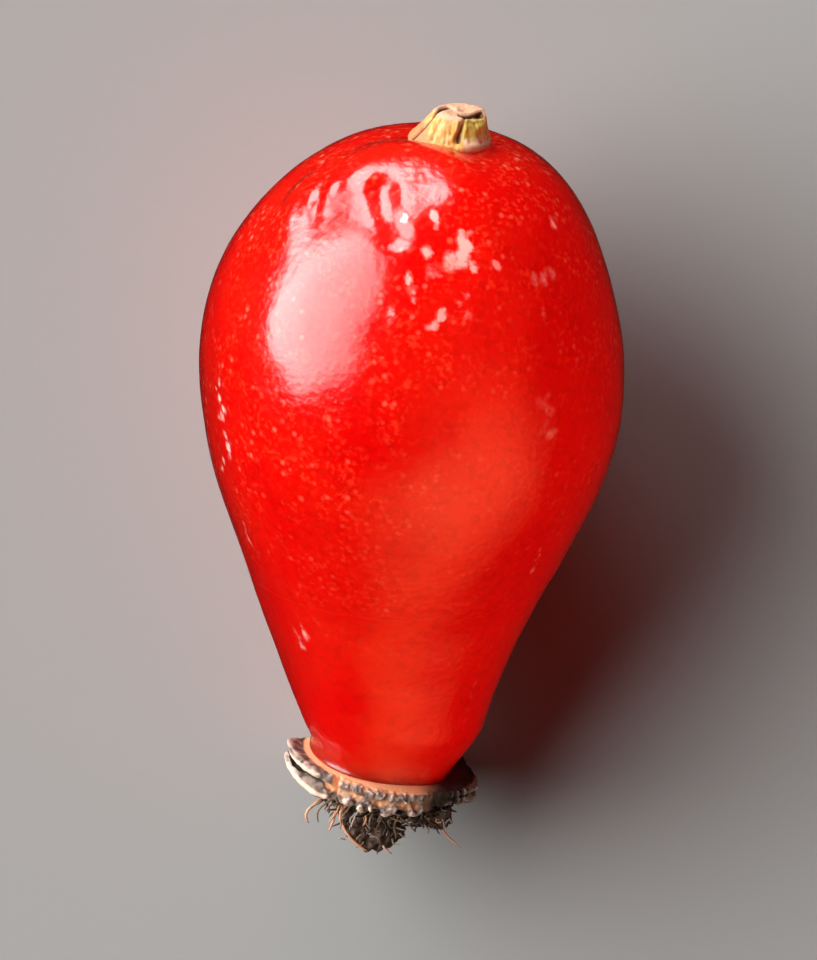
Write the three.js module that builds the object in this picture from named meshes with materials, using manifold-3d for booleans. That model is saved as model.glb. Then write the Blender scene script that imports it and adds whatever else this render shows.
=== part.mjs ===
// A ripe pear-shaped rose hip, as picked, lying on its side on level ground.
//
// Millimetres, +Z up, +Y towards the stem end. Every piece is shaped in the fruit's own frame, in
// which the Y axis is the fruit's axis: y = 0 is the join of the neck and the calyx, and the stalk
// stands at y = BODY_LENGTH. The calyx has a frame of its own at the join, with Y pointing away from
// the fruit. The whole fruit is then laid down, so that its belly and two corners of its calyx touch
// the ground, and both are pressed a little flat there.

import * as THREE from 'three';
import { mergeVertices } from 'three/addons/utils/BufferGeometryUtils.js';
import Module from 'manifold-3d';

const wasm = await Module();
wasm.setup();

const { PI, cos, sin } = Math;
const degrees = THREE.MathUtils.degToRad;

// ---- Driving dimensions ------------------------------------------------------------------------

// Flesh: stations are heights above the join, along the axis.
const BODY_LENGTH = 22.4;
const BELLY_STATION = 13.9;
const BELLY_RADIUS = 7.15;
const NECK_STATION = 0.6;
const NECK_RADIUS = 2.8;
const NECK_FLARE = degrees(17.4); // slope of the neck's side to the axis
const JOIN_RADIUS = 2.35;
const SHOULDER_WIDTH = 5.4; // how far out the flat top of the dome reaches
const SHOULDER_HEIGHT = 3.1; // how far up the belly stays upright
const CONE_SWELL = 4.1; // how far down the belly stays upright
const CONE_STRAIGHT = 8; // how far up from the neck the side stays straight

// Departures of the flesh from a true turned shape.
const BOW_DEPTH = 0.12; // sideways wave of the centre line
const BOW_LENGTH = 15;
const BOW_STATION = 11.6; // where the centre line is furthest to +X
const SHOULDER_TILT = 0.12; // slope of the dome: the +X shoulder stands higher
const DIMPLE_DEPTH = 0.45; // the skin dips in round the stalk
const DIMPLE_RADIUS = 2.2;
const CALYX_LEAN = degrees(7.7); // the join faces a little to -X
const LEAN_FADE = 3; // height over which the neck takes up the lean

// Stalk.
const STALK_OFFSET = 1.15; // the stalk stands to +X of the axis
const STALK_HEIGHT = 1.0;
const STALK_SKIRT_RADIUS = 1.6;
const STALK_WAIST_RADIUS = 0.95;
const STALK_TOP_RADIUS = 0.8;
const STALK_PITH_RADIUS = 0.42;
const STALK_PITH_DEPTH = 0.35;
const STALK_LEAN = degrees(4);

// Calyx: heights are measured from the join, away from the fruit.
const DISC_RADIUS = 2.5;
const DISC_RIM_HEIGHT = 0.98;
const DISC_WELL_RADIUS = 0.75;
const DISC_WELL_HEIGHT = 0.55;
const SEPAL_INNER_RADIUS = 2.54;
const SEPAL_SPREAD = degrees(34); // half the angle that one sepal base takes up
const SEPAL_EDGE_RADIUS = 2.8;
const SEPAL_TOP_HEIGHT = 0.86;
const SEPAL_LIP = 0.42; // thickness of the lip at its corner
const SEPAL_REFLEX = 0.1; // how far the lip turns back past the join
const KNOB_RADIUS = 0.62;
const KNOB_HEIGHT = 1.7;
const STAMEN_RADIUS = 0.09;
const STAMEN_HEIGHT = 1.25; // typical, above the disc
const STAMEN_RING_RADIUS = 2.28;
const STAMEN_COUNT = 26;

// The five sepal bases: direction round the calyx, from +X towards the ground, and the reach of the
// corner from the axis. The upper one is worn short.
const SEPALS = [
  { direction: degrees(54), reach: 3.4 },
  { direction: degrees(126), reach: 3.5 },
  { direction: degrees(198), reach: 3.7 },
  { direction: degrees(270), reach: 3.0 },
  { direction: degrees(-18), reach: 3.2 },
];

const GAP = 0.03; // clearance between pieces that grew together
const BELLY_FLAT = 0.12; // how deep the ground presses the belly
const CORNER_FLAT = 0.05; // and the corners of the calyx

// ---- Colours -----------------------------------------------------------------------------------

const material = (color, roughness) => new THREE.MeshStandardMaterial({ color, roughness, metalness: 0 });
const SKIN = material(0xd01008, 0.2);
const STALK = material(0xd9c07a, 0.8);
const CALYX = material(0x8d8272, 0.9);
const SEPAL = material(0xa3907c, 0.85);
const STYLES = material(0x7d6f5a, 0.95);
const FILAMENT = material(0x9a8560, 0.9);

// ---- Solids ------------------------------------------------------------------------------------

/** The geometry as a manifold solid, with its doubled vertices welded. */
function solidOf(geometry) {
  const bare = geometry.clone();
  bare.deleteAttribute('normal');
  bare.deleteAttribute('uv');
  const welded = mergeVertices(bare);
  return new wasm.Manifold(new wasm.Mesh({
    numProp: 3,
    vertProperties: welded.attributes.position.array,
    triVerts: new Uint32Array(welded.index.array),
  }));
}

/** A manifold solid as a flat-shaded geometry. */
function geometryOf(solid) {
  const { vertProperties, triVerts } = solid.getMesh();
  const indexed = new THREE.BufferGeometry();
  indexed.setAttribute('position', new THREE.BufferAttribute(vertProperties, 3));
  indexed.setIndex(new THREE.BufferAttribute(triVerts, 1));
  const geometry = indexed.toNonIndexed();
  geometry.computeVertexNormals();
  return geometry;
}

/** A named piece in a group. */
function addPiece(group, name, geometry, finish) {
  const piece = new THREE.Mesh(geometry, finish);
  piece.name = name;
  group.add(piece);
  return piece;
}

/** Moves every vertex of a geometry by the function given. */
function reshape(geometry, move) {
  const positions = geometry.attributes.position;
  const point = new THREE.Vector3();
  for (let i = 0; i < positions.count; i++) {
    point.fromBufferAttribute(positions, i);
    move(point);
    positions.setXYZ(i, point.x, point.y, point.z);
  }
  return geometry;
}

/** A repeatable number from -1 to 1 that scatters the k-th measure of the i-th piece. */
function scatter(i, k) {
  const large = 43758.5;
  return 2 * THREE.MathUtils.euclideanModulo(large * sin(12.99 * i + 78.23 * k), 1) - 1;
}

// ---- Flesh -------------------------------------------------------------------------------------

/** Half of the fruit's long section, from the join's centre to the pole. */
function fleshOutline() {
  const point = (radius, station) => new THREE.Vector2(radius, station);
  const upTheNeck = (length) =>
    point(NECK_RADIUS + length * sin(NECK_FLARE), NECK_STATION + length * cos(NECK_FLARE));
  const join = point(JOIN_RADIUS, 0);
  const neck = upTheNeck(0);
  const belly = point(BELLY_RADIUS, BELLY_STATION);
  const pole = point(0, BODY_LENGTH);
  const tuck = new THREE.QuadraticBezierCurve(join, upTheNeck(-0.45), neck);
  const cone = new THREE.CubicBezierCurve(
    neck, upTheNeck(CONE_STRAIGHT), point(BELLY_RADIUS, BELLY_STATION - CONE_SWELL), belly);
  const dome = new THREE.CubicBezierCurve(
    belly, point(BELLY_RADIUS, BELLY_STATION + SHOULDER_HEIGHT), point(SHOULDER_WIDTH, BODY_LENGTH), pole);
  return [
    point(0, 0),
    ...tuck.getPoints(3),
    ...cone.getPoints(14).slice(1),
    ...dome.getPoints(15).slice(1),
  ];
}

/** The red flesh, in one piece: turned, then leaned at the join, bowed, and dimpled at the stalk. */
function makeFlesh() {
  const columns = 44;
  return reshape(new THREE.LatheGeometry(fleshOutline(), columns), (p) => {
    const join = 1 - THREE.MathUtils.smoothstep(p.y, 0, LEAN_FADE);
    const dome = THREE.MathUtils.smoothstep(p.y, BELLY_STATION, BODY_LENGTH);
    const toStalk = Math.hypot(p.x - STALK_OFFSET, p.z) / DIMPLE_RADIUS;
    const bow = BOW_DEPTH * cos((2 * PI * (p.y - BOW_STATION)) / BOW_LENGTH);
    p.y += p.x * (SHOULDER_TILT * dome - Math.tan(CALYX_LEAN) * join);
    p.y -= dome * DIMPLE_DEPTH * Math.exp(-toStalk * toStalk);
    p.x += bow * (1 - join);
  });
}

// ---- Stalk -------------------------------------------------------------------------------------

/** The broken stalk: a skirt in the dimple, a waist, and a torn top with its pith sunk in. */
function makeStalk(flesh) {
  const foot = BODY_LENGTH + SHOULDER_TILT * STALK_OFFSET - DIMPLE_DEPTH;
  const root = 0.8; // reaches into the dome, and is then cut back to the skin
  const flare = new THREE.QuadraticBezierCurve(
    new THREE.Vector2(STALK_SKIRT_RADIUS, 0),
    new THREE.Vector2(STALK_WAIST_RADIUS, 0.2 * STALK_HEIGHT),
    new THREE.Vector2(STALK_WAIST_RADIUS, 0.6 * STALK_HEIGHT),
  );
  const outline = [
    new THREE.Vector2(0, -root),
    new THREE.Vector2(STALK_SKIRT_RADIUS, -root),
    ...flare.getPoints(5),
    new THREE.Vector2(STALK_TOP_RADIUS, STALK_HEIGHT),
    new THREE.Vector2(STALK_PITH_RADIUS, STALK_HEIGHT),
    new THREE.Vector2(0, STALK_HEIGHT - STALK_PITH_DEPTH),
  ];
  const turned = new THREE.LatheGeometry(outline, 20);
  turned.rotateZ(-STALK_LEAN);
  turned.translate(STALK_OFFSET, foot, 0);
  return geometryOf(solidOf(turned).subtract(solidOf(flesh).translate([0, GAP, 0])));
}

// ---- Calyx -------------------------------------------------------------------------------------

/** The woody disc that closes the neck: a rounded rim, a hollow ring and a floor for the styles. */
function makeDisc() {
  const [radius, rim] = [DISC_RADIUS, DISC_RIM_HEIGHT];
  const outline = new THREE.Path();
  outline.moveTo(0, GAP);
  outline.lineTo(JOIN_RADIUS, GAP);
  outline.lineTo(radius, 0.3 * rim);
  outline.lineTo(radius, 0.75 * rim);
  outline.quadraticCurveTo(radius, rim, 0.9 * radius, rim);
  outline.quadraticCurveTo(0.6 * radius, rim, DISC_WELL_RADIUS, DISC_WELL_HEIGHT);
  outline.lineTo(0, DISC_WELL_HEIGHT);
  return new THREE.LatheGeometry(outline.getPoints(5), 40);
}

/** The ring that a sepal base is cut from: it flares out, and its lip turns back over the neck. */
function makeSepalRing(lipRadius) {
  const middle = 0.5 * (SEPAL_INNER_RADIUS + lipRadius);
  const footHeight = 0.35;
  const outline = new THREE.Path();
  outline.moveTo(SEPAL_INNER_RADIUS, footHeight);
  outline.quadraticCurveTo(SEPAL_INNER_RADIUS, 2 * GAP, middle, 0);
  outline.lineTo(lipRadius, -SEPAL_REFLEX);
  outline.lineTo(lipRadius, SEPAL_LIP - SEPAL_REFLEX);
  outline.quadraticCurveTo(middle, SEPAL_TOP_HEIGHT, SEPAL_INNER_RADIUS, SEPAL_TOP_HEIGHT);
  outline.lineTo(SEPAL_INNER_RADIUS, footHeight);
  return new THREE.LatheGeometry(outline.getPoints(4), 60);
}

/** One sepal base: what a blunt-cornered wedge leaves of the ring. */
function makeSepal({ direction, reach }) {
  const margin = 0.2; // the wedge starts inside the ring and its corner is drawn by handles outside
  const bluntness = 0.45;
  const atAngle = (radius, angle) => [radius * cos(angle), radius * sin(angle)];
  const wedge = new THREE.Shape();
  wedge.moveTo(...atAngle(SEPAL_INNER_RADIUS - margin, -SEPAL_SPREAD));
  wedge.lineTo(...atAngle(SEPAL_EDGE_RADIUS, -SEPAL_SPREAD));
  wedge.quadraticCurveTo(reach + margin, -bluntness, reach, 0);
  wedge.quadraticCurveTo(reach + margin, bluntness, ...atAngle(SEPAL_EDGE_RADIUS, SEPAL_SPREAD));
  wedge.lineTo(...atAngle(SEPAL_INNER_RADIUS - margin, SEPAL_SPREAD));
  const cutter = new THREE.ExtrudeGeometry(wedge, { depth: 2, bevelEnabled: false, curveSegments: 6 });
  cutter.translate(0, 0, -0.5);
  cutter.rotateX(-PI / 2);
  cutter.rotateY(-direction);
  return geometryOf(solidOf(makeSepalRing(reach + margin)).intersect(solidOf(cutter)));
}

/** The tuft of dried styles in the middle of the disc. */
function makeKnob() {
  const base = DISC_WELL_HEIGHT + GAP;
  const outline = new THREE.Path();
  outline.moveTo(0, base);
  outline.lineTo(0.8 * KNOB_RADIUS, base);
  outline.quadraticCurveTo(1.3 * KNOB_RADIUS, 0.6 * KNOB_HEIGHT, 0.7 * KNOB_RADIUS, 0.9 * KNOB_HEIGHT);
  outline.quadraticCurveTo(0.4 * KNOB_RADIUS, KNOB_HEIGHT, 0, KNOB_HEIGHT);
  return new THREE.LatheGeometry(outline.getPoints(5), 16);
}

/** A regular polygon, as the section of a thread. */
function threadSection(radius, sides) {
  const corners = Array.from({ length: sides }, (_, k) => {
    const turn = (2 * PI * k) / sides;
    return new THREE.Vector2(radius * cos(turn), radius * sin(turn));
  });
  return new THREE.Shape(corners);
}

/** One dried stamen: it rises from the disc's rim and curls in or, away from the ground, out. */
function makeStamen(index) {
  const around = (2 * PI * (index + 0.5)) / STAMEN_COUNT;
  const facesGround = sin(around) > 0.4;
  const curlsOut = index % 2 === 1 && !facesGround;
  const tall = STAMEN_HEIGHT * (1 + 0.35 * scatter(index, 1));
  const curl = (curlsOut ? 0.25 : -0.75) + 0.2 * scatter(index, 2);
  const sway = 0.05 * scatter(index, 3);
  const foot = DISC_RIM_HEIGHT + GAP;
  const at = (radius, height, side) => {
    const angle = around + side / radius;
    return new THREE.Vector3(radius * cos(angle), height, radius * sin(angle));
  };
  const spine = new THREE.CatmullRomCurve3([
    at(STAMEN_RING_RADIUS, foot, 0),
    at(STAMEN_RING_RADIUS + 0.05, foot + 0.3 * tall, 0.5 * sway),
    at(STAMEN_RING_RADIUS + 0.3 * curl, foot + 0.75 * tall, sway),
    at(STAMEN_RING_RADIUS + curl, foot + tall, 0.4 * sway),
  ]);
  const section = threadSection(STAMEN_RADIUS, 6);
  return new THREE.ExtrudeGeometry(section, { steps: 8, bevelEnabled: false, extrudePath: spine });
}

// ---- Assembly ----------------------------------------------------------------------------------

const hip = new THREE.Group();

const fleshGeometry = makeFlesh();
const flesh = addPiece(hip, 'hip_flesh', fleshGeometry, SKIN);
addPiece(hip, 'stem_stub', makeStalk(fleshGeometry), STALK);

const calyx = new THREE.Group();
calyx.rotation.set(PI, 0, CALYX_LEAN);
hip.add(calyx);
addPiece(calyx, 'calyx_disc', makeDisc(), CALYX);
addPiece(calyx, 'style_knob', makeKnob(), STYLES);
const sepals = SEPALS.map((sepal, i) => addPiece(calyx, `sepal_stub_${i + 1}`, makeSepal(sepal), SEPAL));
for (let i = 0; i < STAMEN_COUNT; i++) {
  addPiece(calyx, `stamen_${String(i + 1).padStart(2, '0')}`, makeStamen(i), FILAMENT);
}

// ---- Laying down -------------------------------------------------------------------------------

/** The height of the lowest point of some pieces, as the hip is placed now. */
function lowestPoint(pieces) {
  const box = new THREE.Box3();
  for (const piece of pieces) box.expandByObject(piece, true);
  return box.min.z;
}

/** Raises the stem end until belly and calyx corners reach the ground together. */
function layDown() {
  let [low, high] = [0, PI / 4];
  for (let i = 0; i < 30; i++) {
    hip.rotation.x = (low + high) / 2;
    hip.updateMatrixWorld(true);
    const cornerIsHigher = lowestPoint(sepals) + CORNER_FLAT > lowestPoint([flesh]) + BELLY_FLAT;
    [low, high] = cornerIsHigher ? [hip.rotation.x, high] : [low, hip.rotation.x];
  }
  hip.position.z = -lowestPoint([flesh]) - BELLY_FLAT;
  hip.updateMatrixWorld(true);
}

/** Cuts a piece off level with the ground. */
function pressFlat(piece) {
  const ground = new THREE.BoxGeometry(60, 60, 10).translate(0, 0, -5);
  ground.applyMatrix4(piece.matrixWorld.clone().invert());
  piece.geometry = geometryOf(solidOf(piece.geometry).subtract(solidOf(ground)));
}

/** Brings the middle of the hip's footprint to the origin. */
function centreOnOrigin() {
  const middle = new THREE.Box3().setFromObject(hip, true).getCenter(new THREE.Vector3());
  hip.position.x -= middle.x;
  hip.position.y -= middle.y;
}

layDown();
[flesh, ...sepals].forEach(pressFlat);
centreOnOrigin();

const part = new THREE.Group();
part.add(hip);

export default part;
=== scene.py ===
"""A ripe rose hip lying on its side: the looks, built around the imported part.

Every piece is modelled on a bench, in millimetres, and put in its place at the end. On the hip's bench the
fruit stands on its calyx: +Y runs from the calyx to the stalk, +Z is the side that lies uppermost and +X is
the taller shoulder. On the calyx's bench +Y points out of the calyx, away from the fruit.
"""

import logging
import math
from collections.abc import Callable
from dataclasses import dataclass, field
from enum import Enum

import bpy
import numpy as np
from mathutils import Matrix, Vector

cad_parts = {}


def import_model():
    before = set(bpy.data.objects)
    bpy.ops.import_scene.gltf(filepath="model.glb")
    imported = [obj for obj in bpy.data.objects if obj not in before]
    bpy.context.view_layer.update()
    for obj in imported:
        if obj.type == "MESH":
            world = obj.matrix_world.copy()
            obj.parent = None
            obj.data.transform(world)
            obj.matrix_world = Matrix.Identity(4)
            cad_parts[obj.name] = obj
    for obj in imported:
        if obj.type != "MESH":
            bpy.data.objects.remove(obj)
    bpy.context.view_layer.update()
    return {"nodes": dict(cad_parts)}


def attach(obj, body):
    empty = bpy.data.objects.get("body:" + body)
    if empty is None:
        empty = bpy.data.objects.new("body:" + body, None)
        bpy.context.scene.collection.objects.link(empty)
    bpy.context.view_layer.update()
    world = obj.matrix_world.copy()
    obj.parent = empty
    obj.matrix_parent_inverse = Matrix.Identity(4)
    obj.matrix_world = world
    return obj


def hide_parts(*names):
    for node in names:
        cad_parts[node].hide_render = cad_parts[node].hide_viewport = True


log = logging.getLogger("rose_hip")

MM = 0.001  # a millimetre of a bench, in the world's metres
TINY = 1e-12  # keeps a path without length from being divided by nothing

Colour = tuple[float, float, float, float]


# ---------------------------------------------------------------------------------------------------------
# Modelling by hand
# ---------------------------------------------------------------------------------------------------------


def take(obj: bpy.types.Object) -> bpy.types.Object:
    """Makes an object the only one that is selected, and the active one.

    Args:
        obj: The object to work on.

    Returns:
        The same object.
    """
    bpy.ops.object.select_all(action="DESELECT")
    obj.select_set(True)
    bpy.context.view_layer.objects.active = obj
    return obj


def finish_modifier(obj: bpy.types.Object, kind: str, **settings: object) -> None:
    """Adds a modifier to an object and applies it.

    Args:
        obj: The object.
        kind: The modifier's type.
        **settings: Its settings. A level is used for the viewport and the render alike.
    """
    take(obj)
    modifier = obj.modifiers.new(kind.title(), kind)
    for name, value in settings.items():
        setattr(modifier, name, value)
        if name == "levels":
            modifier.render_levels = value
    bpy.ops.object.modifier_apply(modifier=modifier.name)


def weigh(obj: bpy.types.Object, name: str, weights: np.ndarray) -> None:
    """Paints a vertex group.

    Args:
        obj: The object.
        name: The group's name.
        weights: One weight for each vertex, from 0 to 1.
    """
    group = obj.vertex_groups.new(name=name)
    for index in np.flatnonzero(weights > 0.0):
        group.add([int(index)], float(weights[index]), "REPLACE")


def places(obj: bpy.types.Object) -> np.ndarray:
    """Lists where an object's vertices are.

    Args:
        obj: The object.

    Returns:
        The places, one row each.
    """
    found = np.empty(len(obj.data.vertices) * 3, np.float32)
    obj.data.vertices.foreach_get("co", found)
    return found.reshape(-1, 3).astype(float)


def keep(obj: bpy.types.Object, name: str, values: np.ndarray) -> None:
    """Keeps one number for each vertex, for a finish to read.

    Args:
        obj: The object.
        name: What the numbers are called.
        values: The numbers.
    """
    obj.data.attributes.new(name, "FLOAT", "POINT").data.foreach_set("value", values.astype(np.float32))


def tint(obj: bpy.types.Object, tone: float) -> None:
    """Keeps one tone for the whole of a piece."""
    keep(obj, "tone", np.full(len(obj.data.vertices), tone))


def keep_relief(obj: bpy.types.Object, passes: int) -> None:
    """Keeps how far each vertex stands proud of its neighbourhood, in the object's units, as "relief".

    Args:
        obj: The object.
        passes: How many rings of neighbours it is compared with.
    """
    mesh = obj.data
    pairs = np.empty(len(mesh.edges) * 2, np.int32)
    mesh.edges.foreach_get("vertices", pairs)
    pairs = pairs.reshape(-1, 2)
    normals = np.empty(len(mesh.vertices) * 3, np.float32)
    mesh.vertices.foreach_get("normal", normals)
    points = places(obj)
    smooth = points.copy()
    count = np.bincount(pairs.ravel(), minlength=len(points))[:, None]
    for _ in range(passes):
        total = np.zeros_like(smooth)
        np.add.at(total, pairs[:, 0], smooth[pairs[:, 1]])
        np.add.at(total, pairs[:, 1], smooth[pairs[:, 0]])
        smooth = total / count
    keep(obj, "relief", ((points - smooth) * normals.reshape(-1, 3)).sum(axis=1))


def new_ring(name: str, centre: Vector, heading: Vector, radius: float, sides: int) -> bpy.types.Object:
    """Lays an open ring, and leaves it selected in edit mode.

    Args:
        name: The object's name.
        centre: The ring's centre.
        heading: The direction that it faces.
        radius: Its radius.
        sides: How many corners it has.

    Returns:
        The object.
    """
    bpy.ops.object.select_all(action="DESELECT")
    turn = heading.to_track_quat("Z", "Y").to_euler()
    bpy.ops.mesh.primitive_circle_add(vertices=sides, radius=radius, location=centre, rotation=turn)
    obj = bpy.context.object
    obj.name = name
    bpy.ops.object.transform_apply(location=True, rotation=True, scale=True)
    bpy.ops.object.mode_set(mode="EDIT")
    bpy.ops.mesh.select_all(action="SELECT")
    return obj


def close_ends() -> None:
    """Closes the shape that is drawn out in edit mode, and leaves edit mode.

    The last ring, still selected, is drawn to a point, and the first one is filled.
    """
    bpy.ops.mesh.merge(type="CENTER")
    bpy.ops.mesh.select_all(action="DESELECT")
    bpy.ops.mesh.select_non_manifold()
    bpy.ops.mesh.edge_face_add()
    bpy.ops.mesh.select_all(action="SELECT")
    bpy.ops.mesh.normals_make_consistent(inside=False)
    bpy.ops.object.mode_set(mode="OBJECT")


def draw_out(name: str, path: list[Vector], radii: list[float], sides: int) -> bpy.types.Object:
    """Draws a ring out along a path into a thread, turning it at each place.

    Args:
        name: The object's name.
        path: The places that the thread runs through.
        radii: Its radius at each place.
        sides: How many sides it has.

    Returns:
        The closed thread.
    """
    heading = (path[1] - path[0]).normalized()
    obj = new_ring(name, path[0], heading, radii[0], sides)
    last = len(path) - 1
    for index in range(1, last + 1):
        here = path[index]
        bpy.ops.mesh.extrude_edges_move(TRANSFORM_OT_translate={"value": here - path[index - 1]})
        onward = (path[min(index + 1, last)] - path[index - 1]).normalized()
        for axis, angle in zip("XYZ", heading.rotation_difference(onward).to_euler("XYZ")):
            bpy.ops.transform.rotate(value=-angle, orient_axis=axis, center_override=here)
        share = radii[index] / radii[index - 1]
        bpy.ops.transform.resize(value=(share, share, share), center_override=here)
        heading = onward
    close_ends()
    return obj


def build_up(name: str, rings: tuple, sides: int) -> bpy.types.Object:
    """Builds a solid up along +Y from level rings.

    Args:
        name: The object's name.
        rings: Each ring's height, its middle's X, and its half widths along X and Z.
        sides: How many sides it has.

    Returns:
        The closed solid.
    """
    height, middle, wide, deep = rings[0]
    obj = new_ring(name, Vector((middle, height, 0.0)), Vector((0.0, 1.0, 0.0)), 1.0, sides)
    bpy.ops.transform.resize(value=(wide, 1.0, deep), center_override=(middle, height, 0.0))
    for ring in rings[1:]:
        move = (ring[1] - middle, ring[0] - height, 0.0)
        bpy.ops.mesh.extrude_edges_move(TRANSFORM_OT_translate={"value": move})
        share = (ring[2] / wide, 1.0, ring[3] / deep)
        height, middle, wide, deep = ring
        bpy.ops.transform.resize(value=share, center_override=(middle, height, 0.0))
    close_ends()
    return obj


def set_places(obj: bpy.types.Object, points: np.ndarray) -> None:
    """Moves an object's vertices to new places."""
    obj.data.vertices.foreach_set("co", points.astype(np.float32).ravel())
    obj.data.update()


def turn_part_way(name: str, profile: tuple, start: float, end: float, steps: int) -> bpy.types.Object:
    """Turns a closed profile part of the way round the Y axis, and closes both its ends.

    Args:
        name: The object's name.
        profile: The profile, as radius and height.
        start: Where it starts, in radians round from +X towards +Z.
        end: Where it ends.
        steps: How many steps it is turned in.

    Returns:
        The closed solid.
    """
    obj = new_ring(name, Vector(), Vector((0.0, 0.0, 1.0)), 1.0, len(profile))
    bpy.ops.object.mode_set(mode="OBJECT")
    corners = [(radius * math.cos(start), height, radius * math.sin(start)) for radius, height in profile]
    set_places(obj, np.array(corners))
    bpy.ops.object.mode_set(mode="EDIT")
    bpy.ops.mesh.select_all(action="SELECT")
    bpy.ops.mesh.spin(steps=steps, angle=end - start, center=(0.0, 0.0, 0.0), axis=(0.0, 1.0, 0.0))
    bpy.ops.mesh.select_all(action="SELECT")
    bpy.ops.mesh.fill_holes(sides=0)
    bpy.ops.mesh.select_all(action="SELECT")
    bpy.ops.mesh.normals_make_consistent(inside=False)
    bpy.ops.object.mode_set(mode="OBJECT")
    return obj


def join(pieces: list[bpy.types.Object], name: str = "") -> bpy.types.Object:
    """Joins pieces into the first of them.

    Args:
        pieces: The pieces.
        name: A new name for the whole, if it gets one.

    Returns:
        The whole.
    """
    bpy.ops.object.select_all(action="DESELECT")
    for piece in pieces:
        piece.select_set(True)
    bpy.context.view_layer.objects.active = pieces[0]
    bpy.ops.object.join()
    pieces[0].name = name or pieces[0].name
    return pieces[0]


def roughen(obj: bpy.types.Object, size: float, depth: float) -> None:
    """Gives a surface soft uneven lumps.

    Args:
        obj: The object.
        size: The lumps' size.
        depth: How far they stand out and dip in, together.
    """
    lumps = bpy.data.textures.new("lumps", "CLOUDS")
    lumps.noise_scale = size
    lumps.noise_depth = 1
    finish_modifier(obj, "DISPLACE", texture=lumps, texture_coords="LOCAL", strength=depth)


# ---------------------------------------------------------------------------------------------------------
# Strokes
# ---------------------------------------------------------------------------------------------------------


Find = Callable[..., np.ndarray]  # finds the point of a surface that a place in a path stands for
TIP_SHARE = 0.08  # how much of its length a tapered stroke keeps at either tip


@dataclass(frozen=True)
class Stroke:
    """One pass over a surface that raises it or presses it in.

    Attributes:
        path: The places that it runs through. On the fruit, the first number is degrees above the belly,
            towards the stalk, and the second is degrees round from the uppermost side, towards the taller
            shoulder. On other pieces they are points on the piece's bench.
        width: How far from its path it fades out, in millimetres.
        rise: How far it raises the surface, in millimetres, or presses it in where it is negative.
        tapered: Whether it fades towards both ends.
    """

    path: tuple[tuple[float, ...], ...]
    width: float
    rise: float
    tapered: bool = False


def gap_to_path(points: np.ndarray, path: np.ndarray) -> tuple[np.ndarray, np.ndarray]:
    """Measures how far points are from a path.

    Args:
        points: The points, one row each.
        path: The path's corners, one row each.

    Returns:
        Each point's distance from the path, and how far along the path it is, from 0 to 1.
    """
    gap = np.full(len(points), np.inf)
    along = np.zeros(len(points))
    lengths = np.linalg.norm(np.diff(path, axis=0), axis=1)
    passed = np.concatenate(([0.0], np.cumsum(lengths))) / max(lengths.sum(), TINY)
    for index, (start, end) in enumerate(zip(path[:-1], path[1:])):
        span = end - start
        share = np.clip((points - start) @ span / max(span @ span, TINY), 0.0, 1.0)
        near = np.linalg.norm(points - (start + share[:, None] * span), axis=1)
        closer = near < gap
        gap[closer] = near[closer]
        along[closer] = (passed[index] + share * (passed[index + 1] - passed[index]))[closer]
    return gap, along


def pass_over(obj: bpy.types.Object, strokes: tuple[Stroke, ...], find: Find) -> np.ndarray:
    """Adds up what strokes do to each vertex.

    Args:
        obj: The object.
        strokes: The strokes.
        find: Finds the point of the surface that a place in a stroke's path stands for.

    Returns:
        The strokes' rise at each vertex.
    """
    points = places(obj)
    rise = np.zeros(len(points))
    for stroke in strokes:
        path = np.array([find(obj, *place) for place in stroke.path])
        gap, along = gap_to_path(points, path)
        fade = np.clip(1.0 - (gap / stroke.width) ** 2, 0.0, 1.0) ** 2
        if stroke.tapered:
            fade *= np.sin(np.pi * np.clip(along, TIP_SHARE, 1.0 - TIP_SHARE))
        rise += stroke.rise * fade
    return rise


def press(obj: bpy.types.Object, rise: np.ndarray) -> None:
    """Moves each vertex along its normal.

    Args:
        obj: The object.
        rise: How far each vertex moves, in the object's units.
    """
    for name, share in (("raised", np.maximum(rise, 0.0)), ("pressed", np.maximum(-rise, 0.0))):
        most = share.max()
        if most > 0.0:
            weigh(obj, name, share / most)
            strength = most if name == "raised" else -most
            finish_modifier(obj, "DISPLACE", vertex_group=name, strength=strength, mid_level=0.0)
            obj.vertex_groups.clear()


def work(obj: bpy.types.Object, strokes: tuple[Stroke, ...], find: Find) -> np.ndarray:
    """Raises and presses a surface along strokes.

    Args:
        obj: The object.
        strokes: The strokes.
        find: Finds the point of the surface that a place in a stroke's path stands for.

    Returns:
        How far each vertex has risen, in the object's units.
    """
    rise = pass_over(obj, strokes, find)
    press(obj, rise)
    return rise


def nearest(obj: bpy.types.Object, *place: float) -> np.ndarray:
    """Finds the point of an object's surface that is nearest to a place."""
    return np.array(obj.closest_point_on_mesh(Vector(place))[1])


# ---------------------------------------------------------------------------------------------------------
# How the hip lies
# ---------------------------------------------------------------------------------------------------------


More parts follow.
